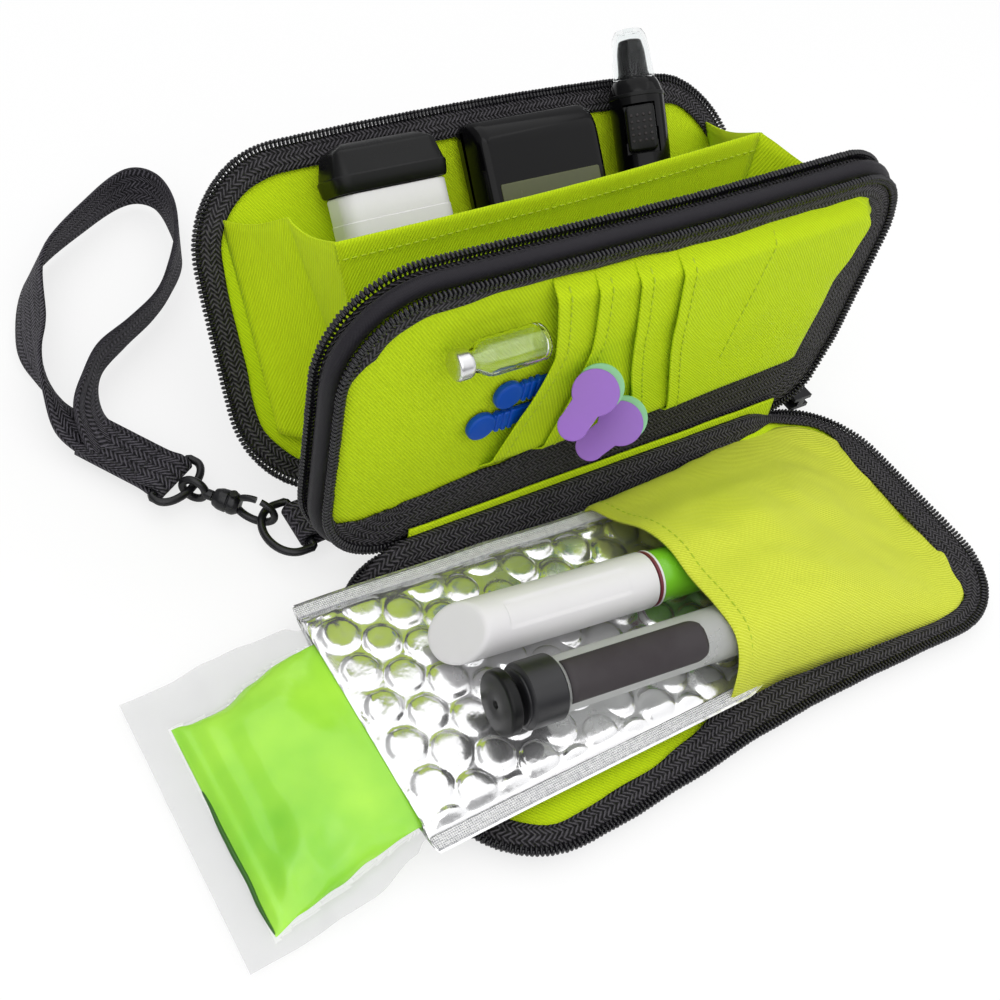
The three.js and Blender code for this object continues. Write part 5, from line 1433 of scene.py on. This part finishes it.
# place of the band's middle line, then its tilt in degrees
loopRun = [
    (sewnTo.x + 2.6, sewnTo.y - 4.2, 5.7, 2), (sewnTo.x - 2.4, sewnTo.y + 5, 6.4, 16), (-140.2, 85, 8.6, 58),
    (-140.4, 100, 9.2, 95), (-137.2, 116.5, 9.2, 127), (-125.5, 145, 9.2, 113), (-100.5, 166, 9.2, 99),
    (-83.5, 175.5, 9.2, 90), (-75, 171, 9.2, 90), (-74.5, 157, 9.2, 89), (-79.5, 139, 9.2, 95),
    (-89, 124.5, 9.2, 86), (-98.5, 114, 9.2, 77), (-111, 105, 9.4, 76), (-123, 96.5, 9.4, 85),
    (-130, 85, 9.2, 104),
    (sewnTo.x + 2.6, sewnTo.y + 5.5, 8.2, 137), (sewnTo.x + 4.2, sewnTo.y - 7, 7.1, 180)]
loopSpots = smoothLine([p[:3] for p in loopRun], 9)
tiltLine = smoothLine([(p[3], 0, 0) for p in loopRun], 9)
loopAcross = []
for i in range(len(loopSpots)):
    ahead = aheadAt(loopSpots, i)
    level = Vector((-ahead.y, ahead.x, 0)).normalized()
    upward = level.cross(ahead)
    if upward.z < 0:
        upward = -upward
    tilt = radians(tiltLine[i].x)
    loopAcross.append(level * cos(tilt) + upward * sin(tilt))
loopBand = ribbonPiece("loopBand", loopSpots, loopAcross, strap["width"], strap["thick"])
foldLine = [(35, 0, -0.95), (28, 0, -1.0), (18, 0, -1.0), (12.5, 0, -1.1)]
for k in range(1, 12):
    turn = pi * k / 12
    foldLine.append((7.5 - 2.1 * sin(turn) + 2.4 * (1 - sin(turn)), 0, -2.1 * cos(turn)))
foldLine += [(12.5, 0, 1.1), (18, 0, 0.95), (28, 0, 0.95), (34.5, 0, 0.95)]
foldSpots = smoothLine(foldLine, 3)
foldBand = ribbonPiece("foldBand", foldSpots, [Vector((0, 1, 0))] * len(foldSpots), strap["width"],
                       strap["thick"], endFrame)
wristStrap = joinPieces("wristStrap", [loopBand, foldBand])
dress(wristStrap, "strap", "webbing", "wrist_strap")
corners = [endFrame @ Vector((x, y, 1.85)) for x, y in ((15, -6), (32, -6), (32, 6), (15, 6))]
stitchRuns = [[corners[i] for i in order] for order in ((0, 1, 2, 3, 0), (0, 2), (3, 1))]
boxStitch = beadPiece("strapStitches", stitchRuns, blackBeads, strap["stitch"])
dress(boxStitch, "strap", "webbing")

tabLine = [(-72.3, 0, 4.9), (-82, 0, 4.9), (-90, 0, 4.8), (-93, 0, 4.5)]
tabLine += [(-94.9 - 2.3 * sin(pi * k / 10), 0, 7 - 2.3 * cos(pi * k / 10)) for k in range(1, 10)]
tabLine += [(-93, 0, 9.4), (-90, 0, 9.0), (-82, 0, 8.8), (-72.3, 0, 8.8)]
tabSpots = [p + Vector((0, strap["tabBack"], 0)) for p in smoothLine(tabLine, 3)]
strapTab = ribbonPiece("strapTab", tabSpots, [Vector((0, 1, 0))] * len(tabSpots), strap["tabWidth"],
                       strap["tabThick"])
tabCore = stackPiece("tabCore", 8.5, 6, 1, [(0.5, 5.4), (0, 5.9), (0, 7.8), (0.5, 8.3)], strapTwill,
                     move((-81, strap["tabBack"], 0)))
strapTab = joinPieces("strapTab", [strapTab, tabCore])
dress(strapTab, "case", "webbing", "strap_tab")
print("strap made")


# stitches, one mesh for each body
for body, runs in limeRuns.items():
    dress(beadPiece(body + "Stitches", runs, limeBeads, stitch), body, "lime_lining")

# the sliders and pulls keep the shapes of the solid model
for node in ("front_zip_slider", "rear_zip_slider", "front_zip_pull", "rear_zip_pull"):
    for spot in bpy.data.objects[node].material_slots:
        spot.material = blackLacquer
print("stitches made")


# camera, floor and light
view = {
    "spot": (-0.214816, -0.178764, 0.285574), "azimuth": -45.2037, "height": 47.7073, "roll": 16.8164,
    "lens": 44.2305, "sensor": 36, "near": 0.01,
}
az, el, roll = (radians(view[k]) for k in ("azimuth", "height", "roll"))
back = Vector((sin(az) * cos(el), -cos(az) * cos(el), sin(el)))
right = Vector((cos(az), sin(az), 0))
up = back.cross(right)
turnedRight = right * cos(roll) + up * sin(roll)
turnedUp = up * cos(roll) - right * sin(roll)
lens = bpy.data.cameras.new("camera")
lens.lens = view["lens"]
lens.sensor_width = view["sensor"]
lens.clip_start = view["near"]
camera = bpy.data.objects.new("camera", lens)
axes = Matrix((turnedRight, turnedUp, back)).transposed()
camera.matrix_world = move(view["spot"]) @ axes.to_4x4()
scene.collection.objects.link(camera)
scene.camera = camera

ground = {"half": 3, "level": -0.0003, "whiteShare": 0.72}
floorMesh = bpy.data.meshes.new("floor")
floorMesh.from_pydata([(x * ground["half"], y * ground["half"], ground["level"])
                       for x, y in ((-1, -1), (1, -1), (1, 1), (-1, 1))], [], [(0, 1, 2, 3)])
floor = bpy.data.objects.new("floor", floorMesh)
scene.collection.objects.link(floor)


def seenRays(tree):
    # rays that reach the camera, also through clear pieces
    rays = addNode(tree, "ShaderNodeLightPath")
    return calc(tree, "MAXIMUM", rays.outputs["Is Camera Ray"], rays.outputs["Is Transmission Ray"])


floorFinish, tree, shader = newFinish("paleFloor", (0.9, 0.9, 0.9), 0.9)
white = addNode(tree, "ShaderNodeEmission", {"Strength": 1.0})
seen = times(tree, seenRays(tree), ground["whiteShare"])
mixed = addNode(tree, "ShaderNodeMixShader", {0: seen, 1: shader.outputs[0], 2: white.outputs[0]})
tree.links.new(mixed.outputs[0], tree.nodes["Material Output"].inputs[0])
floorMesh.materials.append(floorFinish)

studio = {"low": (0.22, 0.22, 0.23), "high": (0.95, 0.95, 0.95), "strength": 0.62, "aim": (0, 0, 0.03)}
world = bpy.data.worlds.new("studio")
scene.world = world
world.use_nodes = True
tree = world.node_tree
sky = tree.nodes["Background"]
ray = addNode(tree, "ShaderNodeTexCoord").outputs["Generated"]
upward = addNode(tree, "ShaderNodeSeparateXYZ", {0: ray}).outputs[2]
room = blendColor(tree, spread(tree, upward, 0.0, 1.0, -0.1, 0.75), studio["low"], studio["high"])
sky.inputs["Strength"].default_value = studio["strength"]
tree.links.new(room, sky.inputs["Color"])
plain = addNode(tree, "ShaderNodeBackground", {"Color": (1, 1, 1, 1), "Strength": 1.0})
mixed = addNode(tree, "ShaderNodeMixShader", {0: seenRays(tree), 1: sky.outputs[0], 2: plain.outputs[0]})
tree.links.new(mixed.outputs[0], tree.nodes["World Output"].inputs[0])

lamps = [
    ("key", (-0.55, -0.65, 0.95), 1.7, 8.6), ("fill", (0.75, -0.55, 0.7), 1.5, 3.8),
    ("top", (0.05, 0.35, 1.1), 1.7, 5.8),
]
for name, spot, size, power in lamps:
    data = bpy.data.lights.new(name, "AREA")
    data.shape = "DISK"
    data.size = size
    data.energy = power
    lamp = bpy.data.objects.new(name, data)
    aim = (Vector(studio["aim"]) - Vector(spot)).to_track_quat("-Z", "Y")
    lamp.matrix_world = move(spot) @ aim.to_matrix().to_4x4()
    scene.collection.objects.link(lamp)
print("camera and light made")
